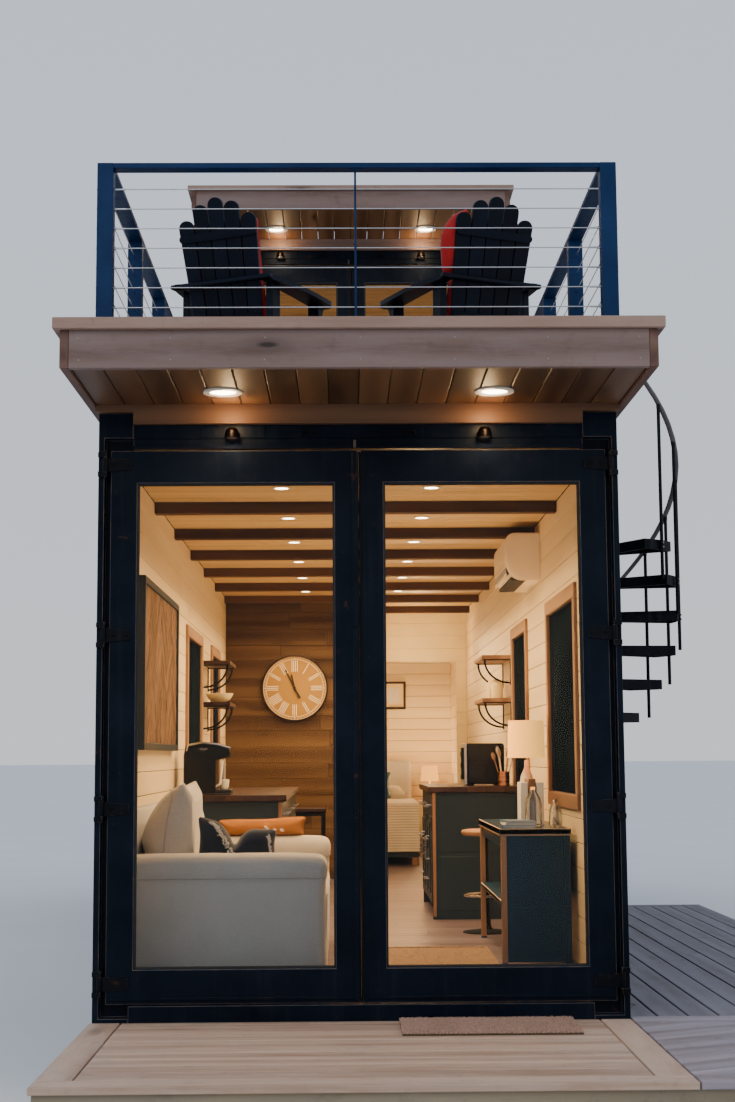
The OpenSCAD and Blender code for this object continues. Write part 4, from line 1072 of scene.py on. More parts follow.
# ------------------------------------------------------------------ ground decks
def clip_strip(x0, x1, y0, y1, u0, u1, ang):
    """Polygon of the strip u0..u1 (across direction ang) inside a rectangle."""
    c, s = math.cos(ang), math.sin(ang)
    poly = [(x0, y0), (x1, y0), (x1, y1), (x0, y1)]
    for sign, lim in ((1, u0), (-1, u1)):
        out = []
        for i in range(len(poly)):
            p, q = poly[i], poly[(i + 1) % len(poly)]
            dp = sign * ((-s * p[0] + c * p[1]) - lim)
            dq = sign * ((-s * q[0] + c * q[1]) - lim)
            if dp >= 0:
                out.append(p)
            if (dp > 0) != (dq > 0) and abs(dp - dq) > 1e-12:
                k = dp / (dp - dq)
                out.append((p[0] + (q[0] - p[0]) * k, p[1] + (q[1] - p[1]) * k))
        poly = out
        if len(poly) < 3:
            return None
    clean = []
    for p in poly:
        if not clean or math.hypot(p[0] - clean[-1][0], p[1] - clean[-1][1]) > 1e-4:
            clean.append(p)
    if len(clean) > 2 and math.hypot(clean[0][0] - clean[-1][0], clean[0][1] - clean[-1][1]) < 1e-4:
        clean.pop()
    return clean if len(clean) > 2 else None


def plank(b, poly, z0, z1, ang, ch=0.0025, mi=0):
    """A board of any outline with a chamfered top edge, grain along ang."""
    n = len(poly)
    cx_ = sum(p[0] for p in poly) / n
    cy_ = sum(p[1] for p in poly) / n
    # inset outline
    ins = []
    for i in range(n):
        p0, p1, p2 = (Vector(poly[i - 1]), Vector(poly[i]), Vector(poly[(i + 1) % n]))
        a, c = (p1 - p0), (p2 - p1)
        if a.length < 1e-6 or c.length < 1e-6:
            ins.append(tuple(p1))
            continue
        a.normalize()
        c.normalize()
        na, nc = Vector((-a.y, a.x)), Vector((-c.y, c.x))
        m = na + nc
        d = m.dot(na)
        ins.append(tuple(p1 + m * (ch / max(d, 0.25))))
    v = [(p[0], p[1], z0) for p in poly] + [(p[0], p[1], z1 - ch) for p in poly] + [(p[0], p[1], z1) for p in ins]
    faces = [tuple(range(n))[::-1], tuple(range(2 * n, 3 * n))]
    for k in range(2):
        faces += [(k * n + i, k * n + (i + 1) % n, (k + 1) * n + (i + 1) % n, (k + 1) * n + i) for i in range(n)]
    v = np.array(v)
    c, s = math.cos(ang), math.sin(ang)
    g = np.stack([(v[:, 0] - cx_) * c + (v[:, 1] - cy_) * s, -(v[:, 0] - cx_) * s + (v[:, 1] - cy_) * c,
                  v[:, 2] - z1], 1)
    b.put(v, faces, g + b.shift(), None, mi)


def decks():
    # the side deck's boards take the darker, bluer copies of the deck wood as painted shade
    b = Build([M["deck"], M["deck_side"], M["deck_front"]])
    sc = Build(M["screw"])
    z1, z0 = GD, GD - 0.028
    gap = 0.006
    # porch: border boards left, right and front, boards across between them
    xl, xr, yf, yb = -1.231, 1.219, -1.530, -0.002
    bw = 0.140
    b.box((xl, yf, z0), (xr, yf + bw, z1), 0, 0.003, 0, 0.6)
    b.box((xl, yf + bw + gap, z0), (xl + bw, yb, z1), 1, 0.003)
    b.box((xr - bw + 0.003, yf + bw + gap, z0), (xr, yb, z1), 1, 0.003)
    y = yf + bw + gap
    pts = []
    while y < yb - 0.03:
        y2 = min(y + 0.140, yb)
        b.box((xl + bw + gap, y, z0), (xr - bw - gap + 0.003, y2, z1 - RND.uniform(0, 0.001)), 0, 0.003)
        for x in (-1.06, -0.8, -0.4, 0, 0.4, 0.8, 1.05):
            for dy in (0.03, 0.11):
                if y + dy < y2 - 0.01:
                    pts.append((x + RND.uniform(-0.005, 0.005), y + dy, z1 - 0.0004))
        y += 0.140 + gap
    for x in (-1.2, -0.8, -0.4, 0, 0.4, 0.8, 1.19):
        for dy in (0.03, 0.11):
            pts.append((x, yf + dy, z1 - 0.0004))
    # side deck, front part: boards that rise to the right
    X0, X1 = 1.225, 2.749
    Y0, Y1 = -1.530, 5.950
    b.box((X0, Y0, z0), (X1, Y0 + bw, z1), 0, 0.003, 2, 0.5)
    b.box((X1 - bw, Y0 + bw + gap, z0), (X1, 2.2, z1), 1, 0.003, 1)
    b.box((X1 - bw, 2.2 + gap, z0), (X1, Y1, z1), 1, 0.003, 1)
    ang = math.radians(26.0)
    fx0, fx1, fy0, fy1 = X0, X1 - bw - gap, Y0 + bw + gap, -0.105
    u = -2.6
    while u < 1.4:
        poly = clip_strip(fx0, fx1, fy0, fy1, u, u + 0.140, ang)
        if poly:
            plank(b, poly, z0, z1 - RND.uniform(0, 0.001), ang, mi=2)
        u += 0.140 + 0.008
    b.box((X0, -0.097, z0), (fx1, 0.071, z1), 0, 0.003, 2)
    # behind the front plane: boards along the cabin, in random lengths
    by0, by1 = 0.080, Y1 - bw - gap
    x, k = X0, 0
    while x < fx1 - 0.02:
        x2 = 1.3505 if k == 0 else min(x + 0.1325, fx1)
        cuts = [by0] + [c_ for c_ in ((2.55, 1.65, 3.45, 2.10, 4.20)[k % 5], 4.75 if k % 2 else 9.0) if c_ < by1 - 0.5] + [by1]
        for c0, c1 in zip(cuts, cuts[1:]):
            b.box((x, c0 + (0.0015 if c0 > by0 else 0), z0), (x2, c1 - 0.0015, z1 - RND.uniform(0, 0.001)), 1, 0.003, 1)
            for yy in (c0 + 0.03, c1 - 0.03):
                pts += [(x + 0.03, yy, z1 - 0.0014), (x2 - 0.03, yy, z1 - 0.0014)]
        x = x2 + 0.0090
        k += 1
    b.box((X0, Y1 - bw, z0), (fx1, Y1, z1), 0, 0.003, 1)
    for k in range(12):
        pts.append((X1 - 0.03, Y0 + 0.3 + k * 0.6, z1 - 0.0004))
        pts.append((X1 - 0.11, Y0 + 0.3 + k * 0.6, z1 - 0.0004))
    b.done("ground_deck", replaces="ground_deck_boards")
    nails(sc, pts, (0, 0, 1), 0.0036, 0.0004)
    fp = []
    for x in [-1.19 + k * 0.43 for k in range(10)]:
        for z in (0.08, 0.22):
            fp.append((x, -1.510, z))
    nails(sc, fp, (0, -1, 0), 0.004, 0.001)
    sc.done("ground_deck_screws")


decks()


def door_mat():
    """Coir mat in front of the right leaf: a bound backing with brush tufts standing in it."""
    x0, x1, y0, y1 = 0.165, 0.950, -0.440, -0.035
    b = Build([M["coir"], M["mat_edge"]])
    b.box((x0 + 0.004, y0 + 0.004, GD + 0.0002), (x1 - 0.004, y1 - 0.004, GD + 0.009), 0, 0.003, 1)
    nx, ny = 92, 48
    for i in range(nx):
        for j in range(ny):
            x = x0 + 0.008 + (x1 - x0 - 0.016) * (i + 0.5 * (j % 2)) / (nx - 0.5) + RND.uniform(-0.0015, 0.0015)
            y = y0 + 0.008 + (y1 - y0 - 0.016) * j / (ny - 1) + RND.uniform(-0.0015, 0.0015)
            h = RND.uniform(0.0185, 0.0225)
            b.tube([(x, y, GD + 0.0085), (x + RND.uniform(-0.004, 0.004), y + RND.uniform(-0.004, 0.004), GD + h)],
                   [0.0048, 0.0026], 4)
    b.done("door_mat")


M["coir"] = fabric("coir_tufts", (0.27, 0.155, 0.105), (0.56, 0.36, 0.26), thread=300, bump=0.6, sheen=0.05)
M["mat_edge"] = fabric("mat_backing", (0.05, 0.032, 0.018), (0.12, 0.075, 0.04), thread=400, bump=0.5, sheen=0.05)
door_mat()


# ------------------------------------------------------------------ interior boarding
def cut_row(y0, y1, z0, z1, holes):
    """Pieces of one board row that remain beside the holes (y0, y1, z0, z1)."""
    segs = [(y0, y1, z0, z1)]
    for ha, hb, hc, hd in holes:
        out = []
        for a, b_, c, d in segs:
            if hb <= a or ha >= b_ or hd <= c or hc >= d:
                out.append((a, b_, c, d))
                continue
            if ha > a:
                out.append((a, ha, c, d))
            if hb < b_:
                out.append((hb, b_, c, d))
            m0, m1 = max(a, ha), min(b_, hb)
            if hc > c:
                out.append((m0, m1, c, hc))
            if hd < d:
                out.append((m0, m1, hd, d))
        segs = out
    return [s for s in segs if s[1] - s[0] > 0.004 and s[3] - s[2] > 0.004]


def interior_shell():
    pitch = 0.128
    b = Build(M["shiplap"])
    for s in (-1, 1):
        holes = [(w[1], w[1] + w[3], w[2], w[2] + w[4]) for w in WINS if w[0] == s]
        z = FLOOR
        while z < CEIL - 0.002:
            z1 = min(z + pitch, CEIL)
            cuts = [0.182, 12.01]
            j = RND.uniform(2.5, 4.8)
            cuts = [0.182] + [j + 3.66 * k for k in range(3) if j + 3.66 * k < 11.5] + [12.01]
            r = RND.random()
            for k in range(len(cuts) - 1):
                for a, b_, c, d in cut_row(cuts[k] + 0.0006, cuts[k + 1] - 0.0006, z, z1 - 0.0035, holes):
                    b.box((s * INX, a, c), (s * (INX + 0.008), b_, d), 1, 0.0018, 0, (r + 0.31 * k) % 1)
            z += pitch
    # rear wall of the bedroom and the cross walls
    z = FLOOR
    while z < CEIL - 0.002:
        z1 = min(z + pitch, CEIL)
        r = RND.random()
        b.box((-INX, LOW_L - 0.190, z), (INX, LOW_L - 0.182, z1 - 0.0035), 0, 0.0018, 0, r)
        z += pitch
    o = b.done("wall_boarding", replaces="side_linings")
    # smooth painted cross walls with a doorway each
    b = Build([M["white"], M["shiplap"]])
    b.box((0.100, 7.950, FLOOR), (0.200, 8.240, 2.885), 2, 0.001, 0)
    b.box((0.100, 8.240, 2.430), (0.200, 8.940, 2.885), 2, 0.001, 0)
    b.box((0.100, 8.940, FLOOR), (0.200, 9.369, 2.885), 2, 0.001, 0)
    z = FLOOR
    while z < CEIL - 0.002:
        z1 = min(z + pitch, CEIL)
        for a, b_, c, d in cut_row(-INX, INX, z, z1 - 0.0012, [(0.230, 1.058, FLOOR - 0.1, 2.430)]):
            b.box((a, 9.370, c), (b_, 9.450, d), 0, 0.0008, 0, 0.5)
        z += pitch
    b.done("cross_wall_panels", replaces="cross_walls")
    # ceiling: narrow boards across
    b = Build(M["ceiling"])
    y, p = 0.180, 0.088
    while y < 12.0:
        y1 = min(y + p, 12.012)
        j = RND.choice((None, RND.uniform(-0.7, 0.7)))
        xs = [-INX, INX] if j is None else [-INX, j, INX]
        for k in range(len(xs) - 1):
            b.box((xs[k] + 0.0005, y, CEIL), (xs[k + 1] - 0.0005, y1 - 0.0016, CEIL + 0.018), 0, 0.0022)
        y += p
    b.done("ceiling_boarding", replaces="ceiling_lining")
    skin("ceiling_beams", M["beam"], bevel=0.003)
    skin("window_glass", M["window"])
    # feature wall: wide reclaimed boards
    b = Build(M["feature"])
    z = FLOOR
    k = 0
    while z < CEIL - 0.01:
        h = RND.choice((0.135, 0.150, 0.170))
        z1 = min(z + h, CEIL)
        cuts = [-INX, RND.uniform(-0.85, -0.05), 0.200]
        for i in range(2):
            b.box((cuts[i] + 0.0008, 7.850 + RND.uniform(0, 0.003), z), (cuts[i + 1] - 0.0008, 7.949, z1 - 0.0022), 0, 0.002)
        z = z1
        k += 1
    b.done("feature_boarding", replaces="feature_wall")
    # floor boards across the room, in the place of the CAD slabs
    b = Build(M["floor"])
    w = 0.152
    for ya, yb, zf in ((0.094, 12.128, FLOOR), (UP_Y + 0.094, 12.128, UP_Z + 0.190)):
        y = ya
        while y < yb - 0.004:
            ye = min(y + w, yb)
            wide = 1.169 if y > ya + 0.09 and ye < yb - 0.118 else 1.056
            j = RND.uniform(-0.8, 0.8)
            for a, c in ((-wide, j), (j + 0.0008, wide)):
                b.box((a, y, zf - 0.060), (c, ye - 0.0010, zf), 0, 0.0015)
            y += w
    b.done("floor_boards", replaces="floors")
    # window casings: four mitre-free boards round each window
    b = Build(M["casing"])
    for s, y, z, w_, h in WINS:
        xa, xb = s * (INX - 0.018), s * INX
        b.box((xa, y - 0.04, z + h - 0.038), (xb, y + w_ + 0.04, z + h + 0.04), 1, 0.002)
        b.box((xa, y - 0.04, z - 0.04), (xb, y + w_ + 0.04, z + 0.038), 1, 0.002)
        b.box((xa, y - 0.04, z + 0.039), (xb, y + 0.038, z + h - 0.039), 2, 0.002)
        b.box((xa, y + w_ - 0.038, z + 0.039), (xb, y + w_ + 0.04, z + h - 0.039), 2, 0.002)
    b.done("window_trim", replaces="window_casings")


interior_shell()


# ------------------------------------------------------------------ soft pieces
M["slip"] = fabric("linen_slipcover", (0.39, 0.360, 0.31), (0.53, 0.50, 0.44), thread=1500, bump=0.35)
M["slip_welt"] = fabric("linen_piping", (0.31, 0.285, 0.24), (0.43, 0.405, 0.35), thread=1500, bump=0.35)
M["navy"] = fabric("navy_cushion_cloth", (0.008, 0.012, 0.022), (0.020, 0.028, 0.045), thread=1900, bump=0.4)
M["orange"] = fabric("orange_cushion_cloth", (0.255, 0.092, 0.014), (0.375, 0.155, 0.032), thread=1700, bump=0.4, sheen=0.05)
M["yarn"] = fabric("cream_yarn", (0.52, 0.48, 0.42), (0.80, 0.76, 0.69), thread=2500, bump=0.6)
M["red"] = fabric("red_cushion_cloth", (0.27, 0.006, 0.008), (0.45, 0.018, 0.018), thread=1500, bump=0.4, sheen=0.15)
M["linen"] = fabric("white_bed_linen", (0.60, 0.56, 0.49), (0.74, 0.70, 0.63), thread=2600, bump=0.2)
M["teal"] = fabric("teal_pillow_cloth", (0.05, 0.10, 0.095), (0.10, 0.17, 0.16), thread=1900, bump=0.35)
M["jute"] = fabric("jute_weave", (0.13, 0.075, 0.035), (0.36, 0.225, 0.11), thread=420, bump=1.0, sheen=0.1,
                   fleck=(0.045, 0.025, 0.012))
M["headboard"] = fabric("headboard_cloth", (0.34, 0.31, 0.26), (0.46, 0.42, 0.36), thread=1500, bump=0.35)


def ribbed():
    """Waffle-ribbed blanket: ribs across the bed, from the sheet's own coordinates."""
    t = Tree("ribbed_blanket", Specular_IOR_Level=0.2, Sheen_Weight=0.35, Sheen_Roughness=0.5)
    g = t.coords("grain")
    s = t.add("ShaderNodeSeparateXYZ", {0: g}).outputs
    rib = t.math("ABSOLUTE", t.math("SINE", t.math("MULTIPLY", s[1], 118.0)))
    cross = t.math("ABSOLUTE", t.math("SINE", t.math("MULTIPLY", s[0], 420.0)))
    n = t.noise(t.coords("x"), 7.0, 3)
    f = t.math("ADD", t.math("MULTIPLY", rib, 0.8), t.math("MULTIPLY", cross, 0.2))
    # the grooves between the ribs are coloured darker than the ridges: painted shade in the grooves
    c = t.ramp(f, [(0.0, (0.48, 0.43, 0.36)), (0.5, (0.70, 0.65, 0.57)), (1.0, (0.77, 0.73, 0.66))])
    t.set("Base Color", t.mix(t.ramp(n, [(0.4, 0.0), (0.75, 0.3)]), c, (0.52, 0.47, 0.40)))
    t.set("Roughness", t.math("ADD", t.math("MULTIPLY", cross, 0.08), 0.86))
    t.bump(f, 0.8, 0.006)
    return t.m


M["blanket"] = ribbed()
PADS = []


def pad(name, lo, hi, t, radius, voxel, mat, kind="box", pin=0.02, crown=0.12, pressure=4.0, cap=0.02, world=None,
        body="root", slot=None, replaces=(), fill=0.7, welt=None, welts=(), wrinkle=0.004, shape=None, soft=True):
    """One stuffed piece: a rounded block inside its CAD solid, remeshed and shaped, ready for the cloth step."""
    lo, hi = np.array(lo, float), np.array(hi, float)
    ctr, half = (lo + hi) / 2, (hi - lo) / 2
    bm = bmesh.new()
    bmesh.ops.create_cube(bm, size=2.0)
    for v in bm.verts:
        v.co = Vector(ctr + np.array(v.co) * half)
    bmesh.ops.bevel(bm, geom=bm.edges[:], offset=radius, segments=5, profile=0.55, affect="EDGES", clamp_overlap=True)
    me = bpy.data.meshes.new(name + "_raw")
    bm.to_mesh(me)
    bm.free()
    tmp = bpy.data.objects.new(name + "_raw", me)
    bpy.context.scene.collection.objects.link(tmp)
    r = tmp.modifiers.new("remesh", "REMESH")
    r.mode = "VOXEL"
    r.voxel_size = voxel
    dg = bpy.context.evaluated_depsgraph_get()
    me2 = bpy.data.meshes.new_from_object(tmp.evaluated_get(dg))
    bpy.data.objects.remove(tmp)
    me2.name = name
    P = np.empty(len(me2.vertices) * 3)
    me2.vertices.foreach_get("co", P)
    P = P.reshape(-1, 3)
    Q = (P - ctr) / half
    a, c = [k for k in range(3) if k != t]
    A, C = Q[:, a].copy(), Q[:, c].copy()
    if kind == "pillow":
        f = np.clip((1 - np.abs(A) ** 3.2) * (1 - np.abs(C) ** 3.2), 0, 1) ** 0.55
        Q[:, t] *= 0.16 + 0.84 * f
    else:
        Q[:, t] *= 1 - crown * np.clip((A ** 4 + C ** 4) * 0.7, 0, 1)
    Q[:, a] = A * (1 - pin * (1 - C ** 2) * A ** 2)
    Q[:, c] = C * (1 - pin * (1 - A ** 2) * C ** 2)
    P = ctr + Q * half
    if shape:
        P = shape(P)
    if wrinkle:
        for i in range(len(P)):
            q = Vector((P[i] + ctr) * 5.0)
            q[t] *= 0.35
            P[i, t] += wrinkle * (mnoise.noise(q) + 0.5 * mnoise.noise(q * 2.7)) * (1.0 if Q[i, t] > 0 else -1.0)
    P = np.clip(P, lo, hi)
    me2.vertices.foreach_set("co", P.ravel())
    me2.materials.clear()
    me2.materials.append(mat)
    o = bpy.data.objects.new(name, me2)
    bpy.context.scene.collection.objects.link(o)
    PADS.append(dict(o=o, lo=lo, hi=hi, t=t, P=P, cap=cap, pressure=pressure, world=world, body=body, slot=slot,
                     replaces=replaces, fill=fill, welt=welt, welts=welts, soft=soft, kind=kind))
    return o


def settle():
    """Blows the cloth of every pad up together, then caps how far each point may go."""
    live = [p for p in PADS if p["soft"]]
    sc = bpy.context.scene
    for p in live:
        m = p["o"].modifiers.new("cloth", "CLOTH")
        s = m.settings
        s.quality = 4
        s.mass = 0.25
        s.tension_stiffness = s.compression_stiffness = 12
        s.shear_stiffness = 6
        s.bending_stiffness = 0.25
        s.use_pressure = True
        s.uniform_pressure_force = p["pressure"]
        s.effector_weights.gravity = 0
        m.collision_settings.use_collision = False
        m.collision_settings.use_self_collision = False
        m.point_cache.frame_start = 1
        m.point_cache.frame_end = 20
    for f in range(1, 21):
        sc.frame_set(f)
    dg = bpy.context.evaluated_depsgraph_get()
    for p in live:
        e = p["o"].evaluated_get(dg).to_mesh()
        R = np.empty(len(e.vertices) * 3)
        e.vertices.foreach_get("co", R)
        R = R.reshape(-1, 3)
        d = R - p["P"]
        n = np.linalg.norm(d, axis=1, keepdims=True)
        d *= np.minimum(1.0, p["cap"] / np.maximum(n, 1e-9))
        p["P"] = np.clip(p["P"] + d, p["lo"], p["hi"])
        p["o"].evaluated_get(dg).to_mesh_clear()
    for p in live:
        p["o"].modifiers.clear()
    sc.frame_set(1)


def rounded_loop(ha, hc, n=144):
    out = []
    for k in range(n):
        x, y = math.cos(2 * math.pi * k / n), math.sin(2 * math.pi * k / n)
        out.append((ha * math.copysign(abs(x) ** 0.32, x), hc * math.copysign(abs(y) ** 0.32, y)))
    # even spacing
    out.append(out[0])
    L = [0.0]
    for p, q in zip(out, out[1:]):
        L.append(L[-1] + math.hypot(q[0] - p[0], q[1] - p[1]))
    res, j = [], 0
    for k in range(n):
        s = L[-1] * k / n
        while L[j + 1] < s:
            j += 1
        f = (s - L[j]) / max(L[j + 1] - L[j], 1e-9)
        res.append((out[j][0] + (out[j + 1][0] - out[j][0]) * f, out[j][1] + (out[j + 1][1] - out[j][1]) * f))
    return res


# large or half-hidden pads whose mesh is fine enough as it is
PLAIN_PADS = ("mattress", "left_pillow", "right_pillow", "small_pillow", "headboard", "sofa_body", "sofa_back",
              "seat_pad_1", "seat_pad_2")


def finish_pads():
    settle()
    for p in PADS:
        o, me, t = p["o"], p["o"].data, p["t"]
        me.vertices.foreach_set("co", p["P"].ravel())
        me.polygons.foreach_set("use_smooth", [True] * len(me.polygons))
        ctr, half = (p["lo"] + p["hi"]) / 2, (p["hi"] - p["lo"]) / 2
        bvh = BVHTree.FromPolygons([Vector(v) for v in p["P"]], [list(f.vertices) for f in me.polygons])
        p["bvh"] = bvh
        W = p["world"] or Matrix.Identity(4)
        if p["welts"]:
            b = Build([p["welt"]])
            a, c = [k for k in range(3) if k != t]
            for off in p["welts"]:
                pts = []
                for u, v in rounded_loop(half[a] * 1.02, half[c] * 1.02):
                    q = Vector(ctr)
                    q[a] += u
                    q[c] += v
                    q[t] += off * half[t]
                    hit = bvh.find_nearest(q)[0]
                    pts.append(np.clip(np.array(hit), p["lo"], p["hi"]))
                pts = np.array(pts)
                for _ in range(2):
                    pts = (np.roll(pts, 1, 0) + pts * 2 + np.roll(pts, -1, 0)) / 4
                pts = [W @ Vector(x) for x in list(pts) + [pts[0], pts[1]]]
                b.tube(pts, 0.0042, 8)
            b.done(o.name + "_piping", p["body"])
        if W != Matrix.Identity(4):
            me.transform(W)
            if W.determinant() < 0:
                me.flip_normals()
        if o.name not in PLAIN_PADS:
            s = o.modifiers.new("round", "SUBSURF")
            s.levels = s.render_levels = 1
        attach(o, p["body"])
        if p["replaces"]:
            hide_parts(*p["replaces"])


def bvh_of(name):
    return next(p["bvh"] for p in PADS if p["o"].name == name)


def sofa():
    w = dict(mat=M["slip"], welt=M["slip_welt"], slot="sofa_fabric", replaces=("sofa",))

    def arm(P):
        # rolled top over a seam; below it the slipcover falls back and hangs in soft folds
        ctr = (P[:, 1].min() + P[:, 1].max()) / 2
        for i in range(len(P)):
            x, y, z = P[i]
            k = 1 / (1 + math.exp((z - 0.905) / 0.008))
            g = min(1.0, max(0.0, (0.80 - z) / 0.40))
            d = y - ctr
            f = 0.0035 * g * (math.sin(x * 21.0) + 0.7 * math.sin(x * 47.0 + 1.0)) + 0.0015 * mnoise.noise(Vector((x * 6, 0, z * 9)))
            P[i, 1] -= math.copysign(min(1.0, abs(d) / 0.10) * (0.013 * k + 0.004 * g + f * k), d)
            if x > -0.24:
                P[i, 0] -= (0.010 * k + 0.003 * g * math.sin(y * 31.0)) * min(1.0, (x + 0.24) / 0.06)
        return P
    for tag, ya, yb in (("near", 0.47, 0.72), ("far", 2.40, 2.64)):
        pad(f"sofa_{tag}_arm", (-1.155, ya, 0.402), (-0.156, yb, 1.02), 2, 0.058, 0.019, kind="box", pin=0.004, crown=0.035,
            fill=0.95, wrinkle=0.002, soft=False, welts=(0.622,), shape=arm, **w)
    pad("sofa_back", (-1.155, 0.725, 0.80), (-1.122, 2.395, 1.24), 0, 0.012, 0.022, kind="box", pin=0.0, crown=0.05,
        fill=0.95, wrinkle=0.001, soft=False, welts=(0.55,), **w)

    def skirt(P):
        # the seat's front rail, with a skirt below it
        for i in range(len(P)):
            x, y, z = P[i]
            if x > -0.26:
                g = min(1.0, max(0.0, (0.70 - z) / 0.30))
                P[i, 0] -= 0.006 * g + 0.004 * g * (math.sin(y * 17.0) + 0.6 * math.sin(y * 41.0 + 1.0))
        return P
    pad("sofa_body", (-1.118, 0.724, 0.402), (-0.163, 2.396, 0.821), 2, 0.022, 0.024, kind="box", pin=0.0, crown=0.0,
        fill=0.95, wrinkle=0.0, soft=False, shape=skirt, welts=(0.86,), **w)
    c = dict(slot="cushion_fabric", replaces=("sofa_cushions",))
    for i, (a, b_) in enumerate(((0.730, 1.555), (1.565, 2.390))):
        pad(f"seat_pad_{i + 1}", (-1.118, a, 0.824), (-0.17, b_, 0.900), 2, 0.03, 0.017, M["slip"], pin=0.012, crown=0.25,
            pressure=3.0, cap=0.012, fill=0.8, welt=M["slip_welt"], welts=(0.55, -0.55), **c)

    def lean(P):
        u = np.clip((P[:, 2] - 0.905) / 0.457, 0, 1)
        P[:, 0] = -0.975 + (P[:, 0] + 0.980) * (0.97 - 0.74 * u ** 3.5) + 0.092 * u ** 2.0
        return P

    def lean_far(P):
        u = np.clip((P[:, 2] - 0.905) / 0.365, 0, 1)
        P[:, 0] = -1.004 + (P[:, 0] + 0.988) * (0.78 - 0.40 * u ** 3.0) + 0.020 * u ** 2.0
        return P
    pad("back_pad_1", (-1.118, 0.735, 0.905), (-0.842, 1.55, 1.362), 0, 0.06, 0.016, M["slip"], "pillow", pin=0.05,
        pressure=4.0, cap=0.022, fill=0.6, welt=M["slip_welt"], welts=(0.0,), shape=lean, **c)
    pad("back_pad_2", (-1.118, 1.57, 0.905), (-0.858, 2.385, 1.27), 0, 0.06, 0.017, M["slip"], "pillow", pin=0.05,
        pressure=4.0, cap=0.022, fill=0.6, welt=M["slip_welt"], welts=(0.0,), shape=lean_far, **c)

    def ears(P):
        # the pillow sags between its corners
        v = np.clip((P[:, 0] + 0.838) / 0.54, 0, 1)
        top = 0.74 + 0.10 * np.exp(-(v / 0.10) ** 2) + 0.30 * np.clip((v - 0.45) / 0.55, 0, 1) ** 2.2
        P[:, 2] = 1.024 + (P[:, 2] - 1.024) * np.minimum(top, 1.04)
        P[:, 0] += 0.012 * np.clip((P[:, 2] - 1.07) / 0.06, 0, 1) * v - 0.010 * v
        return P


    def chop(P):
        u = np.clip((P[:, 0] + 0.838) / 0.43, 0, 1)
        P[:, 2] = 0.905 + (P[:, 2] - 0.905) * (1 - 0.27 * u)
        g = np.exp(-((P[:, 0] + 0.635) / 0.055) ** 2) * np.clip((P[:, 2] - 0.98) / 0.15, 0, 1)
        P[:, 2] -= 0.085 * g
        return P
    pad("navy_cushion", (-0.838, 0.86, 0.905), (-0.408, 0.99, 1.192), 1, 0.03, 0.0078, M["navy"], "pillow", pin=0.07,
        pressure=4.5, cap=0.014, fill=0.5, shape=chop, **c)
    pad("orange_cushion", (-0.838, 2.415, 1.024), (-0.298, 2.555, 1.132), 1, 0.03, 0.0090, M["orange"], "pillow", pin=0.09,
        pressure=4.5, cap=0.014, fill=0.5, welt=M["orange"], welts=(0.0,), shape=ears, **c)


def chair_matrix(s):
    m = Matrix.Translation((0.675, 0.67, RDZ)) @ Matrix.Rotation(math.radians(24), 4, "Z")
    return m if s > 0 else Matrix.Scale(-1, 4, (1, 0, 0)) @ m


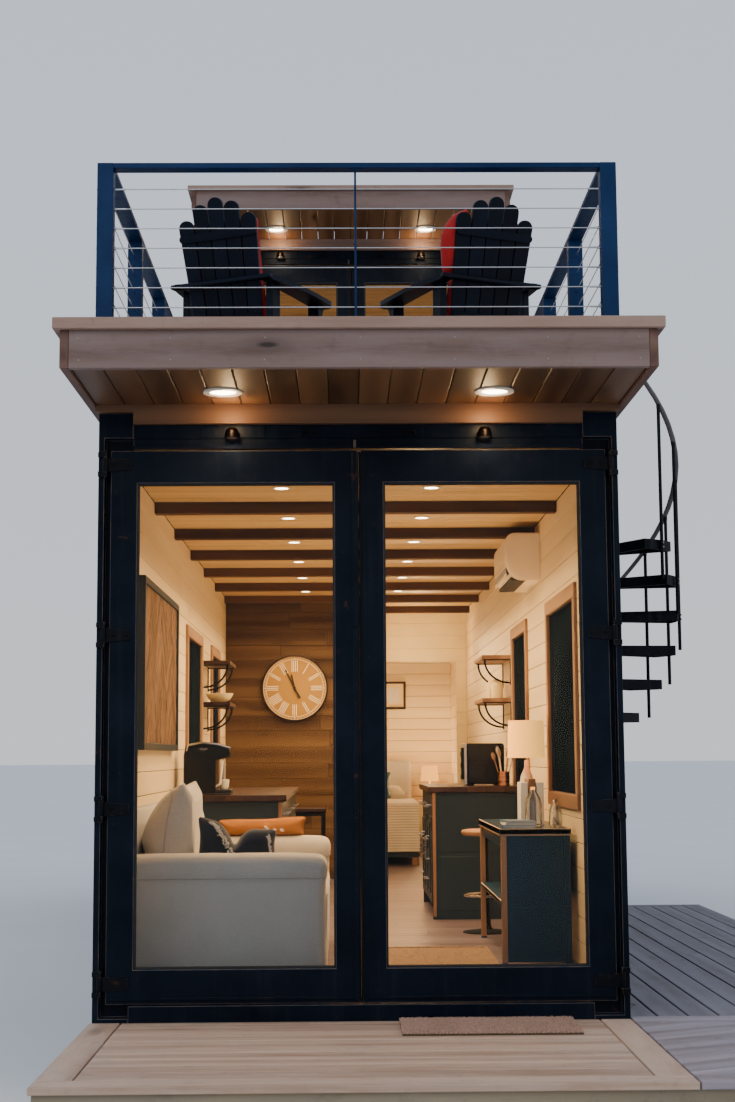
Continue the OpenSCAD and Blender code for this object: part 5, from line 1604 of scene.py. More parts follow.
def chairs():
    for s in (-1, 1):
        tag = "left" if s < 0 else "right"
        W = chair_matrix(s)
        seat = W @ Matrix.Rotation(math.radians(10), 4, "X")
        back = W @ Matrix.Translation((0, 0.07, 0.262)) @ Matrix.Rotation(math.radians(15), 4, "X")
        c = dict(welt=M["red"], slot="red_fabric", replaces=("chair_cushions",))
        pad(tag + "_chair_seat_cushion", (-0.22, 0.17, 0.283), (0.22, 0.59, 0.35), 2, 0.026, 0.0125, M["red"], pin=0.03,
            crown=0.35, pressure=4.0, cap=0.014, world=seat, fill=0.75, welts=(0.5, -0.5), **c)
        pad(tag + "_chair_back_cushion", (-0.213, 0.013, 0.095), (0.213, 0.092, 0.655), 1, 0.028, 0.0135, M["red"], pin=0.03,
            crown=0.35, pressure=4.0, cap=0.014, world=back, fill=0.75, welts=(0.5, -0.5), **c)
        if s > 0:
            # a folded throw over the shoulder on the aisle side
            def drape(P):
                u = np.clip((P[:, 2] - 0.34) / 0.395, 0, 1)
                k = np.clip((u - 0.52) / 0.48, 0, 1)
                e = np.clip((-0.150 - P[:, 0]) / 0.122, 0, 1)
                P[:, 2] = 0.34 + (P[:, 2] - 0.34) * 0.90 - 0.050 * e ** 1.6 * k
                P[:, 0] += 0.010 - 0.020 * np.sin(u * 3.1) + 0.045 * k ** 1.5 + 0.018 * (1 - u) * e
                return P
            pad("right_chair_throw", (-0.272, 0.006, 0.34), (-0.150, 0.088, 0.735), 1, 0.03, 0.0125, M["red"], "pillow", pin=0.02,
                pressure=3.5, cap=0.014, world=back, fill=0.6, shape=drape, **c)
        b = Build([M["slats"], M["screw"]])
        b.xf = W @ Matrix.Rotation(math.radians(10), 4, "X")
        n = 6
        for i in range(n):
            y0 = 0.09 + i * 0.50 / n
            b.box((-0.226, y0 + 0.003, 0.258), (0.226, y0 + 0.50 / n - 0.003, 0.282), 0, 0.004)
            for x in (-0.208, 0.208):
                b.cyl((x, y0 + 0.042, 0.280), (x, y0 + 0.042, 0.2828), 0.004, 8, 0.0006, mi=1)
        b.xf = back
        for k in range(5):
            i = k - 2
            xb, xt, wb, wt = i * 0.076, i * 0.0895, 0.0345, 0.0420
            top = (0.760, 0.732, 0.662)[abs(i)]
            pts = [(xb - wb, 0.0), (xb + wb, 0.0), (xt + wt, top - 0.040)]
            for j in range(1, 10):
                a = math.pi * j / 10
                pts.append((xt + wt * math.cos(a), top - 0.040 + 0.040 * math.sin(a)))
            pts.append((xt - wt, top - 0.040))
            b.prism(pts, -0.003, 0.010, 1, grain_axis=2)
        # battens behind the slats
        for z0, z1, hw in ((0.085, 0.160, 0.200), (0.548, 0.588, 0.2215)):
            rr = (z1 - z0) / 2
            pts = [(-hw + rr, z0), (hw - rr, z0)]
            for j in range(1, 8):
                a = -math.pi / 2 + math.pi * j / 8
                pts.append((hw - rr + rr * math.cos(a), (z0 + z1) / 2 + rr * math.sin(a)))
            pts += [(hw - rr, z1), (-hw + rr, z1)]
            for j in range(1, 8):
                a = math.pi / 2 + math.pi * j / 8
                pts.append((-hw + rr + rr * math.cos(a), (z0 + z1) / 2 + rr * math.sin(a)))
            b.prism(pts, -0.014, -0.0035, 1, grain_axis=0)
            for k in range(5):
                b.cyl(((k - 2) * 0.084, -0.0135, (z0 + z1) / 2), ((k - 2) * 0.084, -0.0150, (z0 + z1) / 2), 0.0030, 8,
                      0.0006, mi=0)
        b.xf = W
        for q in (-1, 1):
            # arm: a paddle that widens to a rounded front
            pts = [(0.2225, -0.050), (0.232, -0.063), (0.258, -0.065), (0.276, -0.050), (0.292, 0.03), (0.318, 0.16), (0.336, 0.30), (0.3385, 0.56)]
            for j in range(1, 9):
                a = math.pi * j / 9
                pts.append((0.2805 + 0.058 * math.cos(a), 0.56 + 0.078 * math.sin(a)))
            pts += [(0.2225, 0.56)]
            if q < 0:
                pts = [(-x, y) for x, y in pts][::-1]
            b.prism(pts, 0.5605, 0.584, 2, grain_axis=1)
            for y in (0.02, 0.52):
                b.box((q * 0.223, y, 0.0), (q * 0.261, y + 0.09, 0.5600), 2, 0.004)
            # side stringer and a bracket under the arm
            b.prism([(0.04, 0.255), (0.60, 0.262), (0.60, 0.336), (0.04, 0.330)][::1], q * 0.2225, q * 0.2625, 0, grain_axis=1)
            b.prism([(0.54, 0.44), (0.60, 0.5595), (0.52, 0.5595)][::1], q * 0.262, q * 0.284, 0, grain_axis=2)
            for y in (0.045, 0.085, 0.545, 0.585):
                b.cyl((q * 0.2620, y, 0.29), (q * 0.2645, y, 0.29), 0.0055, 10, 0.001, mi=1)
        b.box((-0.2885, -0.0655, 0.5605), (0.2885, -0.029, 0.5838), 0, 0.006)
        b.box((-0.223, 0.588, 0.252), (0.223, 0.609, 0.338), 0, 0.004)
        b.done(tag + "_deck_chair", replaces="roof_chairs")


def bed():
    pad("mattress", (-0.885, 9.672, 0.62), (0.675, 11.83, 0.99), 2, 0.05, 0.034, M["linen"], pin=0.0, crown=0.03,
        fill=0.95, wrinkle=0.003, soft=False, slot="bedding", replaces=("bed",))
    pad("left_pillow", (-0.82, 11.36, 0.992), (-0.15, 11.80, 1.15), 2, 0.05, 0.013, M["linen"], "pillow", pin=0.06,
        pressure=4.5, cap=0.02, fill=0.6, slot="bedding", replaces=("bed",))
    pad("right_pillow", (-0.07, 11.36, 0.992), (0.62, 11.80, 1.16), 2, 0.05, 0.013, M["linen"], "pillow", pin=0.06,
        pressure=4.5, cap=0.02, fill=0.6, slot="bedding", replaces=("bed",))
    pad("small_pillow", (0.02, 11.20, 1.015), (0.46, 11.34, 1.33), 1, 0.04, 0.011, M["teal"], "pillow", pin=0.09,
        pressure=4.5, cap=0.018, fill=0.5, slot="bedding", replaces=("bed",))
    pad("headboard", (-0.90, 11.84, 0.45), (0.69, 11.96, 1.44), 1, 0.03, 0.03, M["headboard"], pin=0.0, crown=0.25,
        fill=0.9, wrinkle=0.002, soft=False, slot="bedding", replaces=("bed",), welt=M["headboard"], welts=(-0.45,))
    b = Build([M["dark_wood"], M["joinery"]])
    b.box((-0.88, 9.69, 0.47), (0.67, 11.83, 0.60), 1, 0.004, 1)
    for x in (-0.89, 0.61):
        for y in (9.67, 11.76):
            b.box((x, y, FLOOR), (x + 0.07, y + 0.07, 0.47), 2, 0.004)
    b.done("bed_frame", replaces="bed")
    # blanket over the top and down the foot
    W0, W1 = -0.895, 0.685
    nu, nv = 70, 110
    top = 1.023

    def prof(v):
        # arc length from the hem up over the foot and along the top
        s = v * 2.16
        if s < 0.49:
            return 9.658, 0.53 + s
        if s < 0.505:
            return 9.662, 0.53 + s - 0.004
        return 9.668 + (s - 0.505), top - 0.012 * max(0.0, 1 - (s - 0.505) / 0.03)
    P, G = [], []
    for i in range(nu + 1):
        for j in range(nv + 1):
            u, v = i / nu, j / nv
            y, z = prof(v)
            x = W0 + (W1 - W0) * u
            hang = max(0.0, 1 - v / 0.227)
            wave = 0.006 * math.sin(x * 14.0) + 0.004 * math.sin(x * 33.0 + 2)
            y2 = y + hang * (wave + 0.004)
            z2 = z + (0 if hang else 0.0045 * mnoise.noise(Vector((x * 3.1, y * 3.1, 0.0))))
            P.append((x, max(y2, 9.651), min(z2, 1.029)))
            G.append((x, v * 2.16, 0.0))
    F = [(i * (nv + 1) + j, (i + 1) * (nv + 1) + j, (i + 1) * (nv + 1) + j + 1, i * (nv + 1) + j + 1)
         for i in range(nu) for j in range(nv)]
    me = bpy.data.meshes.new("bed_blanket")
    me.from_pydata(P, [], F)
    at = me.attributes.new("grain", "FLOAT_VECTOR", "POINT")
    at.data.foreach_set("vector", np.array(G, np.float32).ravel())
    me.polygons.foreach_set("use_smooth", [True] * len(F))
    me.materials.append(M["blanket"])
    o = bpy.data.objects.new("bed_blanket", me)
    bpy.context.scene.collection.objects.link(o)
    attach(o, "root")
    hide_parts("bed")


def rug():
    nu, nv = 120, 170
    x0, x1, y0, y1 = -0.10, 0.745, 0.86, 2.10
    P, F = [], []
    for i in range(nu + 1):
        for j in range(nv + 1):
            x, y = x0 + (x1 - x0) * i / nu, y0 + (y1 - y0) * j / nv
            z = FLOOR + 0.0065 + 0.0022 * math.sin(i * math.pi / 2) * math.sin(j * math.pi / 2 + 0.8)
            z += 0.0015 * mnoise.noise(Vector((x * 9, y * 9, 0)))
            P.append((x + 0.003 * mnoise.noise(Vector((x, y * 11, 3))), y + 0.003 * mnoise.noise(Vector((x * 11, y, 5))), z))
    F = [(i * (nv + 1) + j, (i + 1) * (nv + 1) + j, (i + 1) * (nv + 1) + j + 1, i * (nv + 1) + j + 1)
         for i in range(nu) for j in range(nv)]
    me = bpy.data.meshes.new("jute_rug")
    me.from_pydata(P, [], F)
    me.polygons.foreach_set("use_smooth", [True] * len(F))
    me.materials.append(M["jute"])
    o = bpy.data.objects.new("jute_rug", me)
    bpy.context.scene.collection.objects.link(o)
    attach(o, "root")
    b = Build([M["jute"]])
    m = 0.008
    loop = [(x0 + m, y0 + m), (x1 - m, y0 + m), (x1 - m, y1 - m), (x0 + m, y1 - m), (x0 + m, y0 + m)]
    for p, q in zip(loop, loop[1:]):
        pts = [(p[0] + (q[0] - p[0]) * k / 40, p[1] + (q[1] - p[1]) * k / 40, FLOOR + 0.0065 + 0.001 * math.sin(k * 2.1))
               for k in range(41)]
        b.tube(pts, 0.0058, 8)
    e = b.done("rug_binding")


# ------------------------------------------------------------------ furniture
def handle(b, p, q, off, mi, r=0.006):
    """Bar pull between p and q, standing off by the vector off."""
    p, q, off = Vector(p), Vector(q), Vector(off)
    d = (q - p).normalized()
    b.tube([p, p + off * 0.75, p + off + d * 0.008, p + off + d * 0.02], r * 0.8, 10, mi)
    b.tube([q, q + off * 0.75, q + off - d * 0.008, q + off - d * 0.02], r * 0.8, 10, mi)
    b.tube([p + off + d * 0.012, q + off - d * 0.012], r, 12, mi)


def cabinets():
    b = Build([M["joinery"], M["top"], M["stainless"], M["dark_wood"], M["dirt"]])
    for s, y0, y1, xf, zt, ty0, ty1, xt in ((1, 3.860, 5.300, 0.524, 1.240, 3.840, 5.320, 0.500),
                                            (-1, 3.020, 6.000, 0.470, 1.210, 3.000, 6.020, 0.440)):
        xb = 1.140
        # plinth, carcass, end panels, doors, top
        b.box((s * (xf + 0.045), y0 + 0.02, FLOOR), (s * xb, y1 - 0.02, FLOOR + 0.10), 1, 0.002, 4)
        b.box((s * (xf + 0.021), y0 + 0.018, FLOOR + 0.10), (s * xb, y1 - 0.018, zt - 0.004), 1, 0.002, 0)
        for ya, yb in ((y0, y0 + 0.0175), (y1 - 0.0175, y1)):
            b.box((s * (xf + 0.0), ya, FLOOR + 0.0), (s * xb, yb, zt - 0.001), 2, 0.002, 0)
        n = 4 if y1 - y0 < 2.5 else 6
        w = (y1 - y0 - 0.036) / n
        for i in range(n):
            a = y0 + 0.018 + i * w + 0.0018
            c = a + w - 0.0036
            rows = [(FLOOR + 0.103, zt - 0.165), (zt - 0.161, zt - 0.012)] if i % 2 == 0 else \
                [(FLOOR + 0.103, FLOOR + 0.385), (FLOOR + 0.389, FLOOR + 0.645), (FLOOR + 0.649, zt - 0.012)]
            for z0, z1 in rows:
                b.box((s * xf, a, z0), (s * (xf + 0.019), c, z1), 2, 0.002, 0)
                # shaker frame
                for (ra, rb, rc, rd) in ((a, a + 0.05, z0, z1), (c - 0.05, c, z0, z1), (a + 0.05, c - 0.05, z0, z0 + 0.05),
                                         (a + 0.05, c - 0.05, z1 - 0.05, z1)):
                    if z1 - z0 > 0.2:
                        b.box((s * (xf - 0.006), ra, rc), (s * (xf + 0.001), rb, rd), 2, 0.0012, 0)
                zc = (z0 + z1) / 2
                if z1 - z0 > 0.4:
                    handle(b, (s * (xf - 0.006), c - 0.03, z1 - 0.30), (s * (xf - 0.006), c - 0.03, z1 - 0.14), (-s * 0.028, 0, 0), 2)
                else:
                    handle(b, (s * (xf - (0.006 if z1 - z0 > 0.2 else 0)), (a + c) / 2 - 0.08, zc),
                           (s * (xf - (0.006 if z1 - z0 > 0.2 else 0)), (a + c) / 2 + 0.08, zc), (-s * 0.028, 0, 0), 2)
        xs = [xt, xt + 0.125, xt + 0.26, xt + 0.39, xt + 0.52, xb]
        for i in range(len(xs) - 1):
            b.box((s * xs[i], ty0, zt), (s * (xs[i + 1] - 0.0008), ty1, zt + 0.040), 1, 0.003, 1)
        # raised panel on the end that faces the doors
        for k, (za, zb) in enumerate(((FLOOR + 0.06, FLOOR + 0.42), (FLOOR + 0.45, zt - 0.03))):
            b.box((s * (xf + 0.05), y0 - 0.0055, za), (s * (xb - 0.05), y0 + 0.001, zb), 0, 0.002, 0)
        b.box((s * (xf + 0.0), y0 - 0.010, FLOOR + 0.02), (s * (xf + 0.022), y0 + 0.001, zt - 0.002), 2, 0.002, 3)
    b.done("cabinet_joinery", replaces="cabinets")


def desk():
    # desk frame, top edges and legs; the frame's blue cast is a painted reflection
    b = Build([M["desk_black_blue_reflection"], M["light_wood"], M["casing"]])
    b.box((0.750, 1.260, 1.069), (1.130, 2.700, 1.100), 1, 0.002, 0)
    b.box((0.750, 1.260, 1.065), (0.757, 2.700, 1.1005), 1, 0.001, 1)
    b.box((0.750, 1.2600, 1.065), (1.130, 1.268, 1.1005), 0, 0.001, 1)
    for x in (0.755, 1.095):
        for y in (1.270, 2.660):
            b.box((x, y, FLOOR), (x + 0.030, y + 0.030, 1.065), 2, 0.002, 2 if x < 1 else 0)
            b.box((x - 0.002, y - 0.002, FLOOR), (x + 0.032, y + 0.032, FLOOR + 0.012), 2, 0.002, 0)
    b.box((0.755, 1.275, 0.700), (1.120, 2.685, 0.722), 1, 0.002, 0)
    b.box((0.755, 1.272, 0.700), (0.760, 2.685, 0.7225), 1, 0.001, 1)
    b.box((0.7855, 1.274, FLOOR + 0.015), (1.0945, 1.292, 1.066), 2, 0.002, 0)
    b.box((0.80, 1.2725, FLOOR + 0.05), (1.08, 1.276, 0.690), 0, 0.002, 0)
    b.box((0.80, 1.2725, 0.735), (1.08, 1.276, 1.05), 0, 0.002, 0)
    # rear panel below the top, and a drawer rail
    b.box((1.098, 1.30, 0.73), (1.108, 2.66, 1.062), 1, 0.0015, 0)
    b.box((0.772, 1.300, 1.000), (0.782, 2.660, 1.062), 1, 0.0015, 0)
    b.done("desk_parts", replaces="desk")
    # books, papers and glass on the desk
    b = Build([M["paper"], M["paper_blue"], M["casing"], M["paper"]])
    z = 1.1005
    for k, (w, d, h, mi) in enumerate(((0.175, 0.245, 0.016, 1), (0.165, 0.235, 0.013, 3), (0.16, 0.225, 0.010, 1))):
        a = math.radians(-4 + 5 * k)
        R = Matrix.Rotation(a, 3, "Z")
        o = Vector((0.865, 1.45, z))
        ct = np.array(R)
        b.box((0.865 - w / 2, 1.45 - d / 2, z), (0.865 + w / 2, 1.45 + d / 2, z + 0.0018), 1, 0.0006, mi, rot=(ct, o))
        b.box((0.865 - w / 2, 1.45 - d / 2, z + h - 0.0018), (0.865 + w / 2, 1.45 + d / 2, z + h), 1, 0.0006, mi, rot=(ct, o))
        b.box((0.865 - w / 2 + 0.004, 1.45 - d / 2 + 0.004, z + 0.0018), (0.865 + w / 2 - 0.001, 1.45 + d / 2 - 0.004, z + h - 0.0018),
              1, 0.0003, 0, rot=(ct, o))
        b.box((0.865 - w / 2, 1.45 - d / 2, z), (0.865 - w / 2 + 0.002, 1.45 + d / 2, z + h), 1, 0.0006, mi, rot=(ct, o))
        z += h
    # box files standing behind the lamp's front
    for k in range(3):
        b.box((0.93 + k * 0.045, 1.90, 1.1005), (0.93 + k * 0.045 + 0.040, 2.10, 1.335 + 0.02 * (k % 2)), 2, 0.002, (0, 2, 0)[k])
    b.done("desk_books")
    g = Build([M["clear"]])
    for x, y, r, h in ((0.965, 1.58, 0.046, 0.215), (1.065, 1.42, 0.034, 0.150)):
        g.lathe([(0.0, 0.0), (r * 0.82, 0.0), (r, 0.012), (r, h * 0.55), (r * 0.82, h * 0.72), (r * 0.42, h * 0.86),
                 (r * 0.42, h - 0.006), (r * 0.5, h), (r * 0.36, h), (r * 0.34, h * 0.86), (r * 0.76, h * 0.70),
                 (r * 0.93, h * 0.54), (r * 0.93, 0.016), (0.0, 0.012)], (x, y, 1.1003), 40)
    g.done("desk_glassware")


def shelves():
    b = Build([M["top"], M["black"], M["white"], M["casing"], M["light_wood"], M["shelf_wood"]])
    for z in (1.880, 2.195):
        for s, xa, y0, y1 in ((-1, 0.940, 5.170, 5.850), (1, 0.940, 4.660, 5.420)):
            b.box((s * xa, y0, z), (s * (INX - 0.0005), y1, z + 0.028), 1, 0.003, 0 if s < 0 else 5)
            for y in (y0 + 0.07, y1 - 0.07):
                b.box((s * (INX - 0.008), y - 0.014, z - 0.190), (s * (INX - 0.0005), y + 0.014, z), 2, 0.001, 1)
                b.box((s * (xa + 0.012), y - 0.014, z - 0.007), (s * (INX - 0.001), y + 0.014, z - 0.0002), 0, 0.001, 1)
                pts = [(s * (INX - 0.008 - 0.185 * math.sin(a)), y, z - 0.008 - 0.165 * math.cos(a) * (1 - 0.0))
                       for a in [math.pi / 2 * k / 14 for k in range(15)]]
                b.tube(pts, 0.006, 8, 1, flat=(0.6, 1.6))
    b.done("shelf_boards", replaces="wall_shelves")
    b = Build([M["white"], M["casing"], M["light_wood"], M["copper"]])
    # bowl, a cup with wooden utensils, a few jars
    b.lathe([(0.0, 0.0), (0.045, 0.0), (0.085, 0.028), (0.108, 0.068), (0.104, 0.070), (0.080, 0.034), (0.042, 0.008), (0.0, 0.007)],
            (-1.035, 5.36, 1.9085), 48, mi=0)
    b.lathe([(0.0, 0.0), (0.036, 0.0), (0.040, 0.004), (0.040, 0.098), (0.037, 0.100), (0.036, 0.006), (0.0, 0.005)],
            (1.020, 3.925, 1.2805), 36, mi=3)
    for k in range(6):
        a = k * 1.05
        p = Vector((1.020 + 0.012 * math.cos(a), 3.925 + 0.012 * math.sin(a), 1.292))
        q = Vector((1.020 + 0.062 * math.cos(a), 3.925 + 0.045 * math.sin(a), 1.46 + 0.02 * (k % 3)))
        b.tube([p, p.lerp(q, 0.5), q], 0.0042, 8, 1 if k % 2 else 2)
        d = (q - p).normalized()
        b.tube([q - d * 0.006, q + d * 0.010, q + d * 0.034, q + d * 0.052], [0.005, 0.019, 0.021, 0.006], 12, 1 if k % 2 else 2,
               flat=(1.0, 0.3))
    for k, (y, r, h) in enumerate(((4.80, 0.045, 0.12), (4.93, 0.038, 0.09), (5.08, 0.05, 0.15))):
        b.lathe([(0.0, 0.0), (r * 0.9, 0.0), (r, 0.006), (r, h * 0.82), (r * 0.8, h * 0.9), (r * 0.8, h), (0.0, h)],
                (1.06, y, 1.9085), 36, mi=0 if k != 1 else 3)
    b.done("shelf_and_counter_things")


def furniture():
    b = Build([M["appliance"], M["trim"], M["chrome"], M["rubber"], M["joinery"]])
    # coffee machine, facing the aisle
    y0, y1 = 3.085, 3.395
    x = lambda v: -1.10 + v
    pr = [(x(0.0), 1.262), (x(0.205), 1.262), (x(0.205), 1.47)]
    pr += [(x(0.215 + 0.02 * k), 1.475 + 0.004 * k) for k in range(3)]
    pr += [(x(0.285), 1.492), (x(0.295), 1.515), (x(0.288), 1.540), (x(0.245), 1.566), (x(0.18), 1.581), (x(0.10), 1.587),
           (x(0.04), 1.580), (x(0.010), 1.555), (x(0.0), 1.50)]
    b.prism(pr, y0 + 0.02, y1 - 0.02, 1, 0, smooth=False)
    for ya, yb in ((y0 + 0.008, y0 + 0.02), (y1 - 0.02, y1 - 0.008)):
        sm = [(px_ + (x(0.12) - px_) * 0.05, pz + (1.42 - pz) * 0.04) for px_, pz in pr]
        b.prism(sm, ya, yb, 1, 0)
    b.box((x(0.0), y0, 1.2505), (x(0.30), y1, 1.262), 0, 0.003, 3)
    b.box((x(0.205), y0 + 0.05, 1.262), (x(0.302), y1 - 0.05, 1.283), 0, 0.004, 3)
    for k in range(7):
        b.box((x(0.212), y0 + 0.062 + k * 0.028, 1.283), (x(0.296), y0 + 0.070 + k * 0.028, 1.2855), 0, 0.001, 2)
    b.cyl((x(0.248), 3.24, 1.30), (x(0.248), 3.24, 1.475), 0.012, 20, 0.002, mi=2)
    b.lathe([(0.0, 0.0), (0.022, 0.0), (0.030, 0.012), (0.034, 0.060), (0.031, 0.061), (0.0, 0.055)], (x(0.250), 3.24, 1.2856), 32, mi=1)
    b.tube([(x(0.20), 3.12, 1.30), (x(0.235), 3.115, 1.32), (x(0.245), 3.115, 1.44), (x(0.25), 3.115, 1.47)], 0.0075, 12, 1)
    # lever handle along the top
    b.tube([(x(0.02), y0 + 0.012, 1.53), (x(0.03), y0 + 0.004, 1.565), (x(0.12), y0 + 0.004, 1.583), (x(0.22), y0 + 0.006, 1.572),
            (x(0.30), y0 + 0.012, 1.548)], 0.0065, 10, 2)
    for k in range(3):
        b.cyl((x(0.11 + 0.018 * k), y0 + 0.009, 1.543 - 0.006 * (k % 2)), (x(0.11 + 0.018 * k), y0 + 0.0055, 1.543 - 0.006 * (k % 2)), 0.0035, 12, 0.0005, mi=1)
    b.done("coffee_machine", replaces="small_furniture")
    # small oven on the counter: case, feet, and a door with window and knobs on the aisle side
    b = Build([M["appliance"], M["stainless"], M["rubber"], M["window"], M["trim"]])
    b.box((0.774, 4.004, 1.293), (1.034, 4.396, 1.574), 1, 0.012, 0)
    b.box((0.756, 4.000, 1.290), (0.776, 4.400, 1.575), 1, 0.006, 1)
    b.box((0.7525, 4.03, 1.325), (0.7575, 4.29, 1.545), 1, 0.002, 3)
    for x_ in (0.81, 1.00):
        for y in (4.04, 4.36):
            b.cyl((x_, y, 1.2805), (x_, y, 1.295), 0.016, 20, 0.002, mi=2)
    for z in (1.34, 1.42, 1.50):
        b.cyl((0.7560, 4.345, z), (0.7525, 4.345, z), 0.017, 28, 0.001, mi=0)
    for k in range(9):
        b.box((0.80, 4.0015, 1.34 + k * 0.012), (0.90, 4.0045, 1.344 + k * 0.012), 0, 0.0008, 2)
    b.done("small_oven", replaces="small_furniture")
    # table lamp
    b = Build([M["trim"], M["shade"], M["chrome"]])
    cx_, cy_ = 1.010, 2.330
    b.lathe([(0.0, 0.0), (0.058, 0.0), (0.060, 0.004), (0.058, 0.016), (0.035, 0.030), (0.018, 0.055), (0.028, 0.10), (0.043, 0.16),
             (0.046, 0.21), (0.034, 0.27), (0.014, 0.315), (0.012, 0.36), (0.0, 0.36)], (cx_, cy_, 1.1003), 48, mi=0)
    for z0, hgt, r0, r1, ctr in ((1.474, 0.220, 0.112, 0.104, (cx_, cy_)),):
        b.lathe([(r0, z0), (r1, z0 + hgt), (r1 - 0.003, z0 + hgt), (r0 - 0.003, z0), (r0, z0)], (ctr[0], ctr[1], 0), 64, mi=1)
        for zz, rr in ((z0 + 0.003, r0 - 0.001), (z0 + hgt - 0.003, r1 - 0.001)):
            b.tube([(ctr[0] + rr * math.cos(a), ctr[1] + rr * math.sin(a), zz) for a in [2 * math.pi * k / 48 for k in range(49)]],
                   0.003, 8, 1)
    b.done("table_lamp", replaces="small_furniture")
    # bar stool
    b = Build([M["stool"], M["black"], M["chrome"]])
    b.lathe([(0.0, 0.0), (0.135, 0.0), (0.148, 0.004), (0.1545, 0.014), (0.1545, 0.027), (0.147, 0.036), (0.12, 0.040), (0.06, 0.036),
             (0.0, 0.034)], (0.815, 3.00, 0.988), 64, mi=0)
    b.lathe([(0.0, 0.0), (0.150, 0.0), (0.150, 0.006), (0.10, 0.014), (0.04, 0.020), (0.028, 0.035), (0.025, 0.06), (0.025, 0.35),
             (0.018, 0.36), (0.018, 0.59), (0.05, 0.596), (0.0, 0.598)], (0.815, 3.00, FLOOR), 48, mi=1)
    b.tube([(0.815 + 0.135 * math.cos(a), 3.00 + 0.135 * math.sin(a), 0.62) for a in [2 * math.pi * k / 48 for k in range(49)]],
           0.009, 12, 2)
    for k in range(3):
        a = k * 2 * math.pi / 3 + 0.5
        b.tube([(0.815 + 0.02 * math.cos(a), 3.00 + 0.02 * math.sin(a), 0.60), (0.815 + 0.135 * math.cos(a), 3.00 + 0.135 * math.sin(a), 0.62)], 0.006, 10, 1)
    b.done("bar_stool", replaces="small_furniture")
    # console by the brown wall
    b = Build([M["top"], M["black"]])
    for k in range(3):
        b.box((-0.64, 6.90 + k * 0.1335, 1.020), (-0.23, 6.90 + (k + 1) * 0.1335 - 0.001, 1.050), 0, 0.003, 0)
    for x_ in (-0.630, -0.275):
        for y in (6.915, 7.250):
            b.box((x_, y, FLOOR), (x_ + 0.035, y + 0.035, 1.020), 2, 0.002, 1)
        b.box((x_ + 0.002, 6.95, 0.985), (x_ + 0.033, 7.25, 1.019), 1, 0.002, 1)
    for y in (6.917, 7.252):
        b.box((-0.595, y, 0.985), (-0.275, y + 0.031, 1.019), 0, 0.002, 1)
        b.box((-0.595, y, 0.56), (-0.275, y + 0.020, 0.585), 0, 0.002, 1)
    b.done("console_table", replaces="small_furniture")
    # bedside table and its lamp
    b = Build([M["light_wood"], M["white"], M["shade"], M["chrome"]])
    b.box((0.762, 11.482, FLOOR + 0.08), (1.118, 11.898, 0.972), 2, 0.003, 1)
    b.box((0.760, 11.480, 0.972), (1.120, 11.900, 0.990), 0, 0.003, 0)
    for z0, z1 in ((0.50, 0.645), (0.652, 0.80), (0.807, 0.960)):
        b.box((0.775, 11.474, z0), (1.105, 11.484, z1), 0, 0.002, 1)
        b.cyl((0.94, 11.474, (z0 + z1) / 2), (0.94, 11.458, (z0 + z1) / 2), 0.010, 20, 0.002, mi=3)
    for x_ in (0.765, 1.08):
        for y in (11.49, 11.85):
            b.box((x_, y, FLOOR), (x_ + 0.035, y + 0.035, FLOOR + 0.08), 2, 0.002, 0)
    b.lathe([(0.0, 0.0), (0.060, 0.0), (0.062, 0.008), (0.050, 0.02), (0.030, 0.06), (0.042, 0.12), (0.030, 0.17), (0.010, 0.20), (0.010, 0.235),
             (0.0, 0.235)], (0.89, 11.65, 0.990), 40, mi=1)
    b.lathe([(0.105, 1.21), (0.085, 1.38), (0.082, 1.38), (0.102, 1.21), (0.105, 1.21)], (0.89, 11.65, 0), 56, mi=2)
    b.done("bedside_table_and_lamp", replaces="small_furniture")


def aircon():
    b = Build([M["ac"], M["slot"], M["trim"]])
    y0, y1 = 2.730, 3.580

    def prof(k=0.0):
        pts = [(1.158, 2.580 + k), (1.158, 2.880 - k), (1.02, 2.880 - k)]
        for j in range(9):
            a = math.pi / 2 + (math.pi / 2) * j / 8
            pts.append((1.005 + (0.060 - k) * math.cos(a), 2.820 + (0.060 - k) * math.sin(a)))
        for j in range(11):
            a = math.pi + (math.pi / 2) * j / 10
            pts.append((1.045 + (0.100 - k) * math.cos(a), 2.700 + (0.120 - k) * math.sin(a)))
        return pts[::-1]
    ys = [(y0, y0 + 0.006, 0.012), (y0 + 0.006, y0 + 0.020, 0.004), (y0 + 0.020, y1 - 0.020, 0.0), (y1 - 0.020, y1 - 0.006, 0.004),
          (y1 - 0.006, y1, 0.012)]
    for a, c, k in ys:
        b.prism(prof(k), a, c, 1, 0)
    # outlet: a dark slot low in the front with a flap and upright fins
    for zz in (0.0,):
        b.box((0.9495, y0 + 0.035, 2.622), (0.972, y1 - 0.035, 2.668), 1, 0.003, 1)
        b.box((0.975, y0 + 0.035, 2.5795), (1.075, y1 - 0.035, 2.600), 1, 0.003, 1)
    for k in range(22):
        y = y0 + 0.05 + k * 0.0350
        b.box((0.9475, y, 2.624), (0.966, y + 0.0035, 2.666), 2, 0.001, 2)
    R = Matrix.Rotation(math.radians(24), 3, "Y")
    b.box((0.9475, y0 + 0.038, 2.604), (0.9545, y1 - 0.038, 2.626), 1, 0.002, 0)
    b.box((0.9455, y0 + 0.03, 2.688), (0.951, y1 - 0.03, 2.6905), 1, 0.0008, 1)
    b.done("air_conditioner_unit", replaces="air_conditioner")


